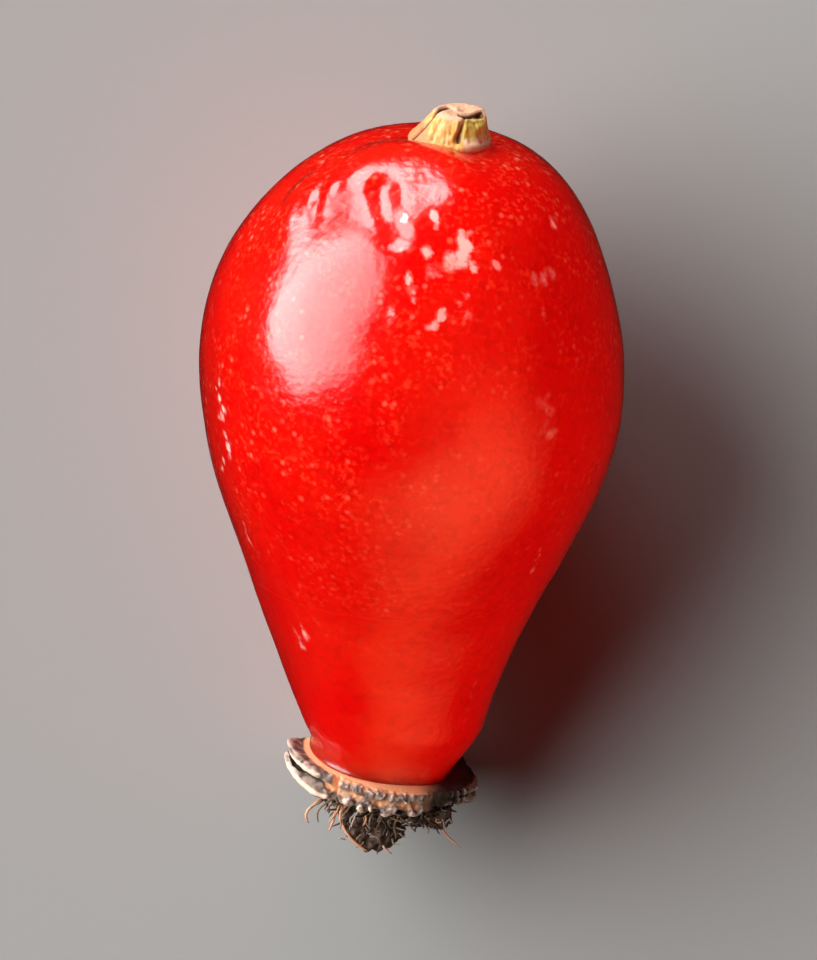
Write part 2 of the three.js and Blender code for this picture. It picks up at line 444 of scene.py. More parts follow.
@dataclass(frozen=True)
class Lie:
    """How the hip lies, and the way from each bench to its place.

    Attributes:
        join: The middle of the join between neck and calyx.
        tilt: How far the stalk's end is raised, as an angle.
        calyx_lean: How far the calyx leans to the side, as an angle.
        join_depth: How thick the layer of corners is that counts as the join's flat face, in millimetres.
    """

    join: Vector
    tilt: float = math.radians(17.53)
    calyx_lean: float = math.radians(7.7)
    join_depth: float = 0.01

    @classmethod
    def of_flesh(cls, flesh: bpy.types.Object) -> "Lie":
        """Finds the join of neck and calyx, the fruit's flat face that looks along the calyx's axis.

        Args:
            flesh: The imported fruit.

        Returns:
            The lie, with the middle of that face as its join.
        """
        trial = cls(Vector())
        outward = np.array(trial.calyx_turn() @ Vector((0.0, 1.0, 0.0)))
        corners = places(flesh)
        reach = corners @ outward
        face = corners[reach > reach.max() - trial.join_depth * MM]
        return cls(Vector((face.min(axis=0) + face.max(axis=0)) / 2))

    def hip_turn(self) -> Matrix:
        """How the hip's bench is turned in the world."""
        return Matrix.Rotation(self.tilt, 3, "X")

    def calyx_turn(self) -> Matrix:
        """How the calyx's bench is turned in the world: over on its head, and leaning."""
        over = Matrix.Rotation(math.pi, 3, "X") @ Matrix.Rotation(self.calyx_lean, 3, "Z")
        return self.hip_turn() @ over

    def hip_place(self) -> Matrix:
        """The way from the hip's bench, in millimetres, to the world."""
        return Matrix.LocRotScale(self.join, self.hip_turn(), Vector((MM, MM, MM)))

    def calyx_place(self) -> Matrix:
        """The way from the calyx's bench, in millimetres, to the world."""
        return Matrix.LocRotScale(self.join, self.calyx_turn(), Vector((MM, MM, MM)))


def put_in_place(obj: bpy.types.Object, place: Matrix) -> None:
    """Moves a finished piece to its place, which then is in its mesh, and presses it flat on the floor.

    Args:
        obj: The piece.
        place: The way from the bench to the world.
    """
    take(obj)
    obj.matrix_world = place
    bpy.ops.object.transform_apply(location=True, rotation=True, scale=True)
    points = places(obj)
    points[:, 2] = np.maximum(points[:, 2], 0.0)
    set_places(obj, points)


# ---------------------------------------------------------------------------------------------------------
# Finishes
# ---------------------------------------------------------------------------------------------------------


class Flow:
    """What comes out of a node, with the sums that the finishes use."""

    def __init__(self, mix: "Mixing", socket: bpy.types.NodeSocket) -> None:
        """Wraps one output socket of a node."""
        self.mix = mix
        self.socket = socket

    def other(self, output: str | int) -> "Flow":
        """Another output of the same node."""
        return Flow(self.mix, self.socket.node.outputs[output])

    def _sum(self, operation: str, first: object, second: object) -> "Flow":
        """Adds a Math node for two numbers or flows."""
        return self.mix.add("ShaderNodeMath", {"operation": operation}, {0: first, 1: second})

    def __add__(self, other: object) -> "Flow":
        """Sum."""
        return self._sum("ADD", self, other)

    __radd__ = __add__

    def __sub__(self, other: object) -> "Flow":
        """Difference."""
        return self._sum("SUBTRACT", self, other)

    def __rsub__(self, other: object) -> "Flow":
        """Difference from a number."""
        return self._sum("SUBTRACT", other, self)

    def __mul__(self, other: object) -> "Flow":
        """Product."""
        return self._sum("MULTIPLY", self, other)

    __rmul__ = __mul__

    def __pow__(self, other: object) -> "Flow":
        """Power."""
        return self._sum("POWER", self, other)


class Mixing:
    """A material that is being mixed from nodes."""

    def __init__(self, name: str) -> None:
        """Starts a material with only an output.

        Args:
            name: The material's name.
        """
        self.material = bpy.data.materials.new(name)
        self.material.use_nodes = True
        self.tree = self.material.node_tree
        self.tree.nodes.clear()

    def add(self, kind: str, settings: dict, sockets: dict, output: str | int = 0) -> Flow:
        """Adds a node.

        Args:
            kind: The node's type.
            settings: Its settings.
            sockets: The values or flows of its sockets, by name or number.
            output: Which of its outputs is wanted, by name or number.

        Returns:
            That output.
        """
        node = self.tree.nodes.new(kind)
        for name, value in settings.items():
            setattr(node, name, value)
        for key, value in sockets.items():
            if isinstance(value, Flow):
                self.tree.links.new(value.socket, node.inputs[key])
            else:
                node.inputs[key].default_value = value
        return Flow(self, node.outputs[output])

    def spots(self, where: Flow, size: float, **extra: float) -> Flow:
        """Soft noise with blots of about a size in millimetres, from 0 to 1."""
        sockets = {"Vector": where, "Scale": 1.0 / size} | extra
        return self.add("ShaderNodeTexNoise", {}, sockets, "Fac")

    def step(self, value: Flow, low: float, high: float, start: float = 0.0, end: float = 1.0) -> Flow:
        """Takes a smooth step.

        Args:
            value: The value that is read.
            low: The value at which the step starts.
            high: The value at which it ends.
            start: What it starts from.
            end: What it ends at.

        Returns:
            The step.
        """
        sockets = {"Value": value, "From Min": low, "From Max": high, "To Min": start, "To Max": end}
        settings = {"interpolation_type": "SMOOTHSTEP", "clamp": True}
        return self.add("ShaderNodeMapRange", settings, sockets)

    def blend(self, share: object, first: object, second: object) -> Flow:
        """A colour between two colours."""
        settings = {"data_type": "RGBA", "blend_type": "MIX"}
        return self.add("ShaderNodeMix", settings, {0: share, 6: first, 7: second}, 2)

    def bench(self, place: Matrix) -> Flow:
        """Each point of the piece on its bench, in millimetres.

        Args:
            place: The way from the bench to the world.

        Returns:
            The point.
        """
        where, turn, scale = place.decompose()
        point = self.add("ShaderNodeTexCoord", {}, {}, "Object")
        sockets = {"Vector": point, "Location": where, "Rotation": turn.to_euler(), "Scale": scale}
        return self.add("ShaderNodeMapping", {"vector_type": "TEXTURE"}, sockets)

    def stretch(self, point: Flow, shares: tuple[float, float, float]) -> Flow:
        """A point with each of its parts scaled."""
        return self.add("ShaderNodeVectorMath", {"operation": "MULTIPLY"}, {0: point, 1: shares})

    def kept(self, name: str) -> Flow:
        """The number that is kept for each vertex under a name."""
        return self.add("ShaderNodeAttribute", {"attribute_name": name}, {}, "Fac")

    def split(self, point: Flow) -> list[Flow]:
        """Splits a point.

        Args:
            point: The point.

        Returns:
            Its three parts.
        """
        first = self.add("ShaderNodeSeparateXYZ", {}, {"Vector": point})
        outputs = first.socket.node.outputs
        return [Flow(self, socket) for socket in outputs]

    def bump(self, height: Flow, depth: float) -> Flow:
        """The normal of a surface with a fine relief of a depth in millimetres."""
        return self.add("ShaderNodeBump", {}, {"Strength": 1.0, "Distance": depth * MM, "Height": height})

    def close(self, sockets: dict) -> bpy.types.Material:
        """Ends the material with its surface.

        Args:
            sockets: What feeds the surface's sockets.

        Returns:
            The material.
        """
        surface = self.add("ShaderNodeBsdfPrincipled", {}, sockets)
        output = self.tree.nodes.new("ShaderNodeOutputMaterial")
        self.tree.links.new(surface.socket, output.inputs["Surface"])
        return self.material


def wear(obj: bpy.types.Object, *materials: bpy.types.Material) -> None:
    """Gives a piece its materials.

    Args:
        obj: The piece.
        *materials: The materials.
    """
    obj.data.materials.clear()
    for material in materials:
        obj.data.materials.append(material)


@dataclass(frozen=True)
class SkinFinish:
    """Waxy red fruit skin: a deep red with paler mottling and freckles under a clear gloss, with painted
    glints and painted shade.

    Attributes:
        ripe: The deep red.
        warm: The warmer red that clouds it.
        streak: The orange band that runs up the middle.
        deep: The dark red of the blots, and of the painted shade on the side opposite the taller shoulder.
        mottle: The fine pale grain, which thickens towards the stalk.
        freckle: The pale freckles.
        neck: The orange edge next to the calyx.
        painted_glint: The pale of the painted glints, marks that stand in for glints and reflections.
        gloss: How rough the gloss is.
        depth: How far light goes through the skin, in millimetres of red, green and blue.
        pores: The depth of the finest grain, in millimetres.
    """

    ripe: Colour = (0.71, 0.0008, 0.0006, 1.0)
    warm: Colour = (0.75, 0.009, 0.002, 1.0)
    streak: Colour = (0.80, 0.026, 0.005, 1.0)
    deep: Colour = (0.44, 0.0008, 0.0006, 1.0)
    mottle: Colour = (0.86, 0.060, 0.022, 1.0)
    freckle: Colour = (0.93, 0.33, 0.21, 1.0)
    neck: Colour = (0.72, 0.018, 0.004, 1.0)
    painted_glint: Colour = (0.94, 0.56, 0.50, 1.0)
    gloss: float = 0.10
    depth: tuple = (4.0, 0.04, 0.02)
    pores: float = 0.02

    def material(self, place: Matrix) -> bpy.types.Material:
        """Mixes the finish.

        Args:
            place: The way from the hip's bench to the world.

        Returns:
            The material.
        """
        mix = Mixing("hip skin")
        point = mix.bench(place)
        side, station, top = mix.split(point)
        # Noises of several sizes, and how the mottling thickens towards the stalk.
        cloud = mix.spots(point, 3.5, Detail=3.0)
        grain = mix.spots(point, 0.20, Detail=1.0)
        blots = mix.spots(point, 0.34, Detail=0.0)
        clump = mix.step(mix.spots(point, 1.2, Detail=1.0), 0.36, 0.64)
        mottled = mix.step(cloud + 0.030 * station, 0.45, 1.15)
        speckled = mottled * (0.45 + 0.55 * mix.step(station - 1.2 * side, 8.0, 19.0))
        # The band starts at the calyx and leans over to the taller shoulder.
        off = side - 2.9 * mix.step(station, 5.0, 13.9) + 1.6 * (cloud - 0.5)
        band = mix.step(off, -1.4, -0.1) * mix.step(off, 1.6, 0.3)
        band = band * mix.step(top, 0.2, 1.5) * mix.step(station, 17.5, 13.0)
        # The colours, from the deepest layer up.
        base = mix.blend(mix.step(cloud, 0.30, 0.75), self.ripe, self.warm)
        base = mix.blend(0.9 * band, base, self.streak)
        base = mix.blend(0.2 * mix.step(blots, 0.46, 0.30), base, self.deep)
        mottling = 0.85 * mottled * (0.2 + 0.8 * clump) * mix.step(grain, 0.46, 0.76)
        base = mix.blend(mottling, base, self.mottle)
        base = mix.blend(0.9 * speckled * clump * self.freckles(mix, point, 0.36, 0.14), base, self.freckle)
        base = mix.blend(0.45 * speckled * self.freckles(mix, point, 1.10, 0.17), base, self.freckle)
        # Painted shade darkens the flank opposite the taller shoulder, and the edge next to the calyx is
        # orange.
        painted_shade_side = side - 3.2 * mix.step(station, 12.0, 3.0)
        base = mix.blend(0.75 * mix.step(painted_shade_side, -5.2, -7.1), base, self.deep)
        base = mix.blend(mix.step(station + 0.8 * grain, 1.9, 0.4), base, self.neck)
        # The painted glints are broken up by flecks, and the belly is glossier than the neck.
        fleck = mix.spots(point, 0.13, Detail=1.0)
        base = mix.blend(mix.step(mix.kept("painted_glint") * (0.2 + 1.6 * fleck), 0.02, 0.80), base, self.painted_glint)
        polish = mix.step(station, 6.0, 12.0)
        bump = mix.bump(grain, self.pores)
        return mix.close({
            "Base Color": base, "Roughness": 0.28 - 0.10 * polish, "IOR": 1.45, "Specular IOR Level": 0.5,
            "Subsurface Weight": 1.0, "Subsurface Radius": tuple(far * MM for far in self.depth),
            "Subsurface Scale": 1.0, "Coat Weight": 0.6 + 0.3 * polish, "Coat Roughness": self.gloss,
            "Coat IOR": 1.55, "Normal": bump,
        })

    @staticmethod
    def freckles(mix: Mixing, point: Flow, apart: float, radius: float) -> Flow:
        """Scatters small pale freckles.

        Args:
            mix: The material.
            point: Where each point is, in millimetres.
            apart: How far apart the freckles are, in millimetres.
            radius: The radius of the largest, in millimetres.

        Returns:
            How far each point is freckle, from 0 to 1.
        """
        cells = mix.add("ShaderNodeTexVoronoi", {}, {"Vector": point, "Scale": 1.0 / apart}, "Distance")
        chance = mix.add("ShaderNodeSeparateColor", {}, {0: cells.other("Color")}, 0)
        return mix.step(apart * cells, radius, 0.0) * mix.step(chance, 0.10, 1.0)


# ---------------------------------------------------------------------------------------------------------
# The fruit
# ---------------------------------------------------------------------------------------------------------


@dataclass
class Fruit:
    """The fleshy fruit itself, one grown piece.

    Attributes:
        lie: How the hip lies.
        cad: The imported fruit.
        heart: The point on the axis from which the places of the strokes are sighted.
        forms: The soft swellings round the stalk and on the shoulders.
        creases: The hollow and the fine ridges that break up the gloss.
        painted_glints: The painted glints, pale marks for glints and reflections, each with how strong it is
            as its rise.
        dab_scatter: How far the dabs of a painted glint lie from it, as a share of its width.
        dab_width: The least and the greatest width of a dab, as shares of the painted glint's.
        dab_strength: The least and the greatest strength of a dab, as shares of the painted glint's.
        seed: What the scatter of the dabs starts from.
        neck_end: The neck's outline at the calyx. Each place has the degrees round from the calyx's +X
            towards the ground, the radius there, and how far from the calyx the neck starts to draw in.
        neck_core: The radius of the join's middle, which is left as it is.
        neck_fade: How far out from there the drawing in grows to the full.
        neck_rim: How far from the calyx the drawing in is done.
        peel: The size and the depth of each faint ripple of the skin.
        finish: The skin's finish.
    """

    lie: Lie
    cad: bpy.types.Object
    heart: Vector = field(default_factory=lambda: Vector((0.0, 12.0, 0.0)))
    forms: tuple[Stroke, ...] = (
        Stroke(((71, -46), (78, -46), (82, -20), (81, 12)), 1.5, 0.28),
        Stroke(((72, 26), (66, 22)), 1.3, 0.16),
        Stroke(((54, -53), (60, -60), (65, -66), (70, -70)), 0.95, 0.42, True),
        Stroke(((56, 25), (54, 25)), 1.1, 0.20),
    )
    creases: tuple[Stroke, ...] = (
        Stroke(((70, -21), (65, -15), (60, -8)), 0.72, -0.17),
        Stroke(((57, -46), (61, -52), (66, -58)), 0.36, 0.10, True),
        Stroke(((60, -41), (65, -47), (70, -55)), 0.36, 0.10, True),
        Stroke(((41, 11), (48, 20)), 0.4, 0.10, True),
    )
    # Painted glints and reflections: pale marks that stand in for glints of the gloss.
    painted_glints: tuple[Stroke, ...] = (
        Stroke(((58, 14), (55, 18)), 0.46, 1.0),
        Stroke(((59, 18), (57, 20)), 0.26, 0.8),
        Stroke(((53, 20), (52.6, 20.5)), 0.17, 0.8),
        Stroke(((53, 28), (52.6, 28.4)), 0.19, 0.9),
        Stroke(((48.5, 17), (45.5, 11)), 0.15, 0.7),
        Stroke(((44.5, 8.5), (42.5, 7)), 0.27, 0.9),
        Stroke(((57, 4), (56, 4.5)), 0.22, 0.5),
        Stroke(((52, -2), (51, -2)), 0.22, 0.5),
        Stroke(((44, -6), (43, -6)), 0.22, 0.4),
        Stroke(((53, 4), (52, 8)), 0.26, 0.4),
        Stroke(((48, -1), (47.5, 0)), 0.20, 0.4),
        Stroke(((44, 16), (43.6, 16.4)), 0.20, 0.35),
        Stroke(((64, -6), (63.6, -6)), 0.17, 1.2),
        Stroke(((64, 7), (63, 8)), 0.22, 0.9),
        Stroke(((49, 43), (48, 49)), 0.34, 0.5),
        Stroke(((58, 61), (57, 61)), 0.20, 0.4),
        Stroke(((24, 40), (14, 43)), 0.42, 0.42),
        Stroke(((-24, 49), (-33, 50)), 0.17, 0.7, True),
        Stroke(((-52, -41), (-55, -40)), 0.20, 0.5),
        Stroke(((-55, -46), (-58, -44)), 0.18, 0.45),
        Stroke(((-65, 45), (-71, 48)), 0.20, 0.3),
        Stroke(((13, -77), (-2, -76), (-14, -77), (-29, -78), (-44, -78), (-57, -77)), 0.26, 0.45),
        Stroke(((17, -63), (13, -64)), 0.20, 0.7),
        Stroke(((11, -60), (8, -62)), 0.22, 0.8),
        Stroke(((4, -60), (-1, -58)), 0.20, 0.8),
        Stroke(((-4, -64), (-9, -66)), 0.17, 0.7),
        Stroke(((-24, -60), (-30, -60)), 0.16, 0.6, True),
    )
    dab_scatter: float = 3.0
    dab_width: tuple[float, float] = (0.45, 0.75)
    dab_strength: tuple[float, float] = (0.4, 0.9)
    seed: int = 8
    neck_end: tuple = (
        (0, 2.10, 1.9), (20, 2.20, 1.9), (45, 2.45, 1.9), (90, 2.66, 1.6), (135, 2.74, 1.0),
        (180, 2.76, 0.9), (215, 2.79, 1.0), (240, 2.74, 1.4), (262, 2.60, 1.9), (276, 2.50, 1.9),
        (292, 2.44, 1.9), (305, 2.40, 1.9), (325, 2.24, 1.9), (340, 2.12, 1.9), (360, 2.10, 1.9),
    )
    neck_core: float = 1.9
    neck_fade: float = 0.25
    neck_rim: float = 0.1
    peel: tuple = ((2.6, 0.09), (0.24, 0.012))
    finish: SkinFinish = field(default_factory=SkinFinish)

    def build(self) -> bpy.types.Object:
        """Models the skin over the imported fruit.

        Returns:
            The finished piece.
        """
        skin = self.merged_copy()
        finish_modifier(skin, "SUBSURF", levels=1)
        work(skin, self.forms, self.on_skin)
        finish_modifier(skin, "SUBSURF", levels=1)
        finish_modifier(skin, "SMOOTH", factor=0.5, iterations=16)
        work(skin, self.creases, self.on_skin)
        finish_modifier(skin, "SUBSURF", levels=1)
        self.draw_in_neck(skin)
        # The painted glints: pale marks that stand in for glints and reflections.
        keep(skin, "painted_glint", pass_over(skin, self.dabs(), self.on_skin))
        for size, depth in self.peel:
            roughen(skin, size, depth)
        put_in_place(skin, self.lie.hip_place())
        wear(skin, self.finish.material(self.lie.hip_place()))
        bpy.ops.object.shade_smooth()
        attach(skin, "root")
        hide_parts("hip_flesh")
        return skin

    def dabs(self) -> tuple[Stroke, ...]:
        """Breaks the painted glints up into small uneven dabs.

        Returns:
            The dabs, several for each painted glint.
        """
        dice = np.random.default_rng(self.seed)
        dabs = []
        for painted_glint in self.painted_glints:
            path = np.array(painted_glint.path)
            legs = len(path) - 1
            scatter = self.dab_scatter * painted_glint.width
            for step in np.linspace(0.0, legs, 2 + 4 * legs):
                at = np.array([np.interp(step, range(len(path)), column) for column in path.T])
                at += dice.normal(0.0, scatter, 2)
                onward = at + dice.normal(0.0, scatter, 2)
                width = painted_glint.width * dice.uniform(*self.dab_width)
                rise = painted_glint.rise * dice.uniform(*self.dab_strength)
                dabs.append(Stroke((tuple(at), tuple(onward)), width, rise))
        return tuple(dabs)

    def merged_copy(self) -> bpy.types.Object:
        """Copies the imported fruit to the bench, and joins its loose triangles into quads.

        Returns:
            The copy.
        """
        skin = bpy.data.objects.new("hip_skin", self.cad.data.copy())
        bpy.context.scene.collection.objects.link(skin)
        take(skin)
        skin.data.transform(self.lie.hip_place().inverted())
        bpy.ops.mesh.customdata_custom_splitnormals_clear()
        bpy.ops.object.mode_set(mode="EDIT")
        bpy.ops.mesh.select_all(action="SELECT")
        bpy.ops.mesh.remove_doubles(threshold=0.001)
        bpy.ops.mesh.tris_convert_to_quads(face_threshold=math.pi, shape_threshold=math.pi)
        bpy.ops.object.mode_set(mode="OBJECT")
        return skin

    def draw_in_neck(self, skin: bpy.types.Object) -> None:
        """Draws the neck in to its outline at the calyx.

        Args:
            skin: The skin, on the hip's bench.
        """
        way = self.lie.calyx_place().inverted() @ self.lie.hip_place()
        skin.data.transform(way)
        points = places(skin)
        radius = np.hypot(points[:, 0], points[:, 2])
        angle = np.arctan2(points[:, 2], points[:, 0])
        degrees, *columns = np.array(self.neck_end).T
        end, back = (np.interp(np.mod(np.degrees(angle), 360.0), degrees, column) for column in columns)
        share = np.clip((radius - self.neck_core) / self.neck_fade, 0.0, 1.0)
        share *= np.clip((points[:, 1] + back) / (back - self.neck_rim), 0.0, 1.0) ** 1.5
        drawn = radius + share * (end - radius)
        points[:, 0], points[:, 2] = drawn * np.cos(angle), drawn * np.sin(angle)
        set_places(skin, points)
        skin.data.transform(way.inverted())

    def on_skin(self, skin: bpy.types.Object, above: float, around: float) -> np.ndarray:
        """Finds a place on the skin.

        Args:
            skin: The skin.
            above: Degrees above the belly, towards the stalk.
            around: Degrees round from the uppermost side, towards the taller shoulder.

        Returns:
            The place on the bench.
        """
        up, turn = math.radians(above), math.radians(around)
        ray = Vector((math.sin(turn) * math.cos(up), math.sin(up), math.cos(turn) * math.cos(up)))
        return np.array(skin.ray_cast(self.heart, ray)[1])


# ---------------------------------------------------------------------------------------------------------
# The stalk
# ---------------------------------------------------------------------------------------------------------


@dataclass(frozen=True)
class StalkFinish:
    """Dry torn stalk: straw yellow with paler fibres, an olive flap and a pale torn top, with painted shade
    in its hollows and splits.
    """

    straw: Colour = (0.70, 0.33, 0.045, 1.0)
    pale: Colour = (0.78, 0.50, 0.20, 1.0)
    peach: Colour = (0.74, 0.25, 0.09, 1.0)
    olive: Colour = (0.78, 0.60, 0.12, 1.0)
    blush: Colour = (0.86, 0.50, 0.32, 1.0)
    torn: Colour = (0.76, 0.42, 0.25, 1.0)
    brown: Colour = (0.16, 0.045, 0.012, 1.0)
    black: Colour = (0.012, 0.009, 0.005, 1.0)

    def material(self, place: Matrix) -> bpy.types.Material:
        """Mixes the finish.

        Args:
            place: The way from the stalk's bench to the world.

        Returns:
            The material.
        """
        mix = Mixing("dry stalk")
        point = mix.bench(place)
        side, height, front = mix.split(point)
        # Fibres that run up the stub, over a soft cloud.
        fibre = mix.spots(mix.stretch(point, (1.0, 0.12, 1.0)), 0.12, Detail=2.0)
        cloud = mix.spots(point, 0.5, Detail=2.0)
        base = mix.blend(mix.step(fibre, 0.42, 0.62), self.straw, self.pale)
        base = mix.blend(mix.step(side + 0.5 * height + 0.3 * cloud, -0.45, -0.85), base, self.peach)
        # The flap is olive with a pinkish edge, and the top is torn pale.
        flap = mix.step(side + 0.35 * height + 0.1 * cloud, 0.28, 0.45) * mix.step(front, 0.1, 0.3)
        face = mix.blend(mix.step(height + 0.3 * cloud, 0.55, 0.35), self.olive, self.blush)
        base = mix.blend(flap, base, face)
        base = mix.blend(mix.step(height + 0.2 * cloud, 0.92, 1.06), base, self.torn)
        # Painted shade: what lies deep, and the splits, are darkened brown, and the bottoms of the splits
        # black.
        base = mix.blend(0.6 * mix.step(mix.kept("relief"), -0.006, -0.02), base, self.brown)
        base = mix.blend(mix.step(mix.kept("cut"), -0.04, -0.11), base, self.brown)
        base = mix.blend(mix.step(mix.kept("cut"), -0.14, -0.24), base, self.black)
        return mix.close({"Base Color": base, "Roughness": 0.55, "Normal": mix.bump(fibre, 0.02)})


@dataclass
class Stalk:
    """The torn stub of the stalk: a foot that leans out to one side, and a flap split off at its front.

    Attributes:
        lie: How the hip lies.
        cad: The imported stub.
        rings: The height of each ring, its middle's place from side to side, and its half widths.
        sides: How many sides each ring has.
        forms: The dip at the flap's upper corner, the knob on the torn top, the ridge down the front and the
            flap's lower rim.
        cuts: The splits.
        grooves: How many fine grooves run down between the fibres.
        groove_width: The least and the greatest width of a groove.
        groove_depth: The least and the greatest depth of a groove.
        seed: What the scatter of the grooves starts from.
        lumps: The size and the depth of its unevenness.
        finish: Its finish.
    """

    lie: Lie
    cad: bpy.types.Object
    rings: tuple = (
        (-0.35, -0.15, 1.10, 1.00),
        (-0.05, -0.24, 1.44, 1.22),
        (0.06, -0.23, 1.38, 1.18),
        (0.20, -0.19, 1.27, 1.08),
        (0.45, -0.11, 1.13, 1.00),
        (0.72, -0.02, 0.98, 0.92),
        (0.94, 0.05, 0.88, 0.83),
        (1.04, 0.08, 0.77, 0.70),
        (1.02, 0.08, 0.52, 0.48),
        (0.96, 0.08, 0.28, 0.26),
        (0.94, 0.08, 0.10, 0.10),
    )
    sides: int = 28
    forms: tuple[Stroke, ...] = (
        Stroke(((0.60, 1.0, 0.78), (0.88, 1.0, 0.45)), 0.36, -0.14),
        Stroke(((-0.10, 1.1, -0.12), (-0.04, 1.1, -0.05)), 0.20, 0.13),
        Stroke(((0.02, 0.85, 0.85), (-0.10, 0.5, 1.0), (-0.18, 0.3, 1.1)), 0.12, 0.05),
        Stroke(((0.25, 0.1, 1.2), (0.70, 0.1, 1.0)), 0.35, 0.12),
    )
    cuts: tuple[Stroke, ...] = (
        Stroke(((0.20, 1.0, 0.52), (0.48, 1.0, 0.36), (0.80, 1.0, 0.10)), 0.24, -0.55),
        Stroke(((0.24, 1.0, 0.66), (0.16, 0.69, 0.95), (0.06, 0.41, 1.05), (0.02, 0.28, 1.1)), 0.11, -0.11),
        Stroke(((-1.46, 0.06, 0.42), (-1.18, 0.50, 0.42), (-0.92, 0.8, 0.36), (-0.70, 1.0, 0.16)),
               0.13, -0.14),
        Stroke(((-0.70, 1.0, 0.16), (-0.44, 1.1, -0.15), (-0.34, 1.1, -0.22)), 0.18, -0.20),
    )
    grooves: int = 22
    groove_width: tuple[float, float] = (0.07, 0.11)
    groove_depth: tuple[float, float] = (0.015, 0.04)
    seed: int = 4
    lumps: tuple[float, float] = (0.25, 0.05)
    finish: StalkFinish = field(default_factory=StalkFinish)

    def build(self) -> bpy.types.Object:
        """Models the stub.

        Returns:
            The finished piece.
        """
        place = self.place()
        stub = build_up("torn_stalk", self.rings, self.sides)
        finish_modifier(stub, "SUBSURF", levels=2)
        work(stub, self.forms, nearest)
        keep(stub, "cut", work(stub, self.cuts, nearest))
        finish_modifier(stub, "SUBSURF", levels=1)
        work(stub, self.fine_grooves(), nearest)
        roughen(stub, *self.lumps)
        keep_relief(stub, passes=8)
        put_in_place(stub, place)
        wear(stub, self.finish.material(place))
        bpy.ops.object.shade_smooth()
        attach(stub, "root")
        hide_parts("stem_stub")
        return stub

    def place(self) -> Matrix:
        """Finds where the stub stands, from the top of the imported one.

        Returns:
            The way from the stalk's bench, whose middle is at the stub's foot, to the world.
        """
        corners = places(self.cad) @ np.array(self.lie.hip_turn())
        low, high = corners.min(axis=0) / MM, corners.max(axis=0) / MM
        tall = max(ring[0] for ring in self.rings)
        foot = Vector(((low[0] + high[0]) / 2, high[1] - tall, (low[2] + high[2]) / 2))
        turn = self.lie.hip_turn()
        return Matrix.LocRotScale(turn @ foot * MM, turn, Vector((MM, MM, MM)))

    def fine_grooves(self) -> tuple[Stroke, ...]:
        """Scatters the fine grooves round the stub.

        Returns:
            The grooves.
        """
        dice = np.random.default_rng(self.seed)
        even = np.linspace(0.0, math.tau, self.grooves, endpoint=False)
        strokes = []
        for angle in even + dice.uniform(-0.1, 0.1, self.grooves):
            lean = dice.uniform(-0.12, 0.12)
            turns = ((up, angle + lean * up) for up in (0.1, 0.5, 0.9))
            path = tuple((math.cos(turn), up, math.sin(turn)) for up, turn in turns)
            strokes.append(Stroke(path, dice.uniform(*self.groove_width), -dice.uniform(*self.groove_depth)))
        return tuple(strokes)


# ---------------------------------------------------------------------------------------------------------
# The dried calyx
# ---------------------------------------------------------------------------------------------------------


@dataclass(frozen=True)
class SepalFinish:
    """Dried sepal stub: mousy tan and a peach root, with pinkish painted highlights on raised edges and dark
    painted shade in hollows.
    """

    tan: Colour = (0.34, 0.235, 0.18, 1.0)
    dusk: Colour = (0.10, 0.060, 0.050, 1.0)
    edge: Colour = (0.74, 0.54, 0.47, 1.0)
    hollow: Colour = (0.022, 0.012, 0.009, 1.0)
    pale: Colour = (0.86, 0.66, 0.48, 1.0)
    peach: Colour = (0.86, 0.40, 0.20, 1.0)

    def material(self, place: Matrix) -> bpy.types.Material:
        """Mixes the finish.

        Args:
            place: The way from the calyx's bench to the world.

        Returns:
            The material.
        """
        mix = Mixing("dried sepal")
        point = mix.bench(place)
        side, height, down = mix.split(point)
        radius = (side * side + down * down) ** 0.5
        cloud = mix.spots(point, 0.45, Detail=2.0)
        grain = mix.spots(point, 0.10, Detail=2.0)
        base = mix.blend(mix.step(cloud, 0.40, 0.62), self.dusk, self.tan)
        # Painted highlight on what stands proud and on raised marks, and painted shade in what lies deep and
        # in pressed marks.
        base = mix.blend(mix.step(mix.kept("relief"), 0.005, 0.05), base, self.edge)
        base = mix.blend(mix.step(mix.kept("relief"), -0.005, -0.06), base, self.hollow)
        base = mix.blend(mix.step(mix.kept("cut"), 0.02, 0.08), base, self.pale)
        base = mix.blend(mix.step(mix.kept("cut"), -0.02, -0.08), base, self.hollow)
        # The collar next to the flesh is peach, but for the side of the taller shoulder, which is darkened
        # with painted shade.
        edge = radius + 0.12 * cloud
        near = mix.step(edge, 3.04, 2.95) * mix.step(height, 0.72, 0.6)
        base = mix.blend(near * mix.step(side, 1.9, 0.9), base, self.peach)
        base = mix.blend(0.9 * near * mix.step(side, 1.0, 1.9), base, self.hollow)
        bump = mix.bump(grain, 0.02)
        return mix.close({"Base Color": base, "Roughness": 0.65, "Specular IOR Level": 0.4, "Normal": bump})


@dataclass(frozen=True)
class DiscFinish:
    """Dried disc: a pale dotted rim round a dark hollow."""

    rim: Colour = (0.46, 0.34, 0.24, 1.0)
    dots: Colour = (0.06, 0.03, 0.02, 1.0)
    well: Colour = (0.07, 0.028, 0.022, 1.0)

    def material(self, place: Matrix) -> bpy.types.Material:
        """Mixes the finish.

        Args:
            place: The way from the calyx's bench to the world.

        Returns:
            The material.
        """
        mix = Mixing("dried disc")
        point = mix.bench(place)
        side, _, down = mix.split(point)
        radius = (side * side + down * down) ** 0.5
        cloud = mix.spots(point, 0.3, Detail=2.0)
        base = mix.blend(mix.step(mix.spots(point, 0.13), 0.52, 0.66), self.rim, self.dots)
        base = mix.blend(mix.step(radius + 0.5 * cloud, 2.15, 1.85), base, self.well)
        return mix.close({"Base Color": base, "Roughness": 0.7, "Normal": mix.bump(cloud, 0.03)})


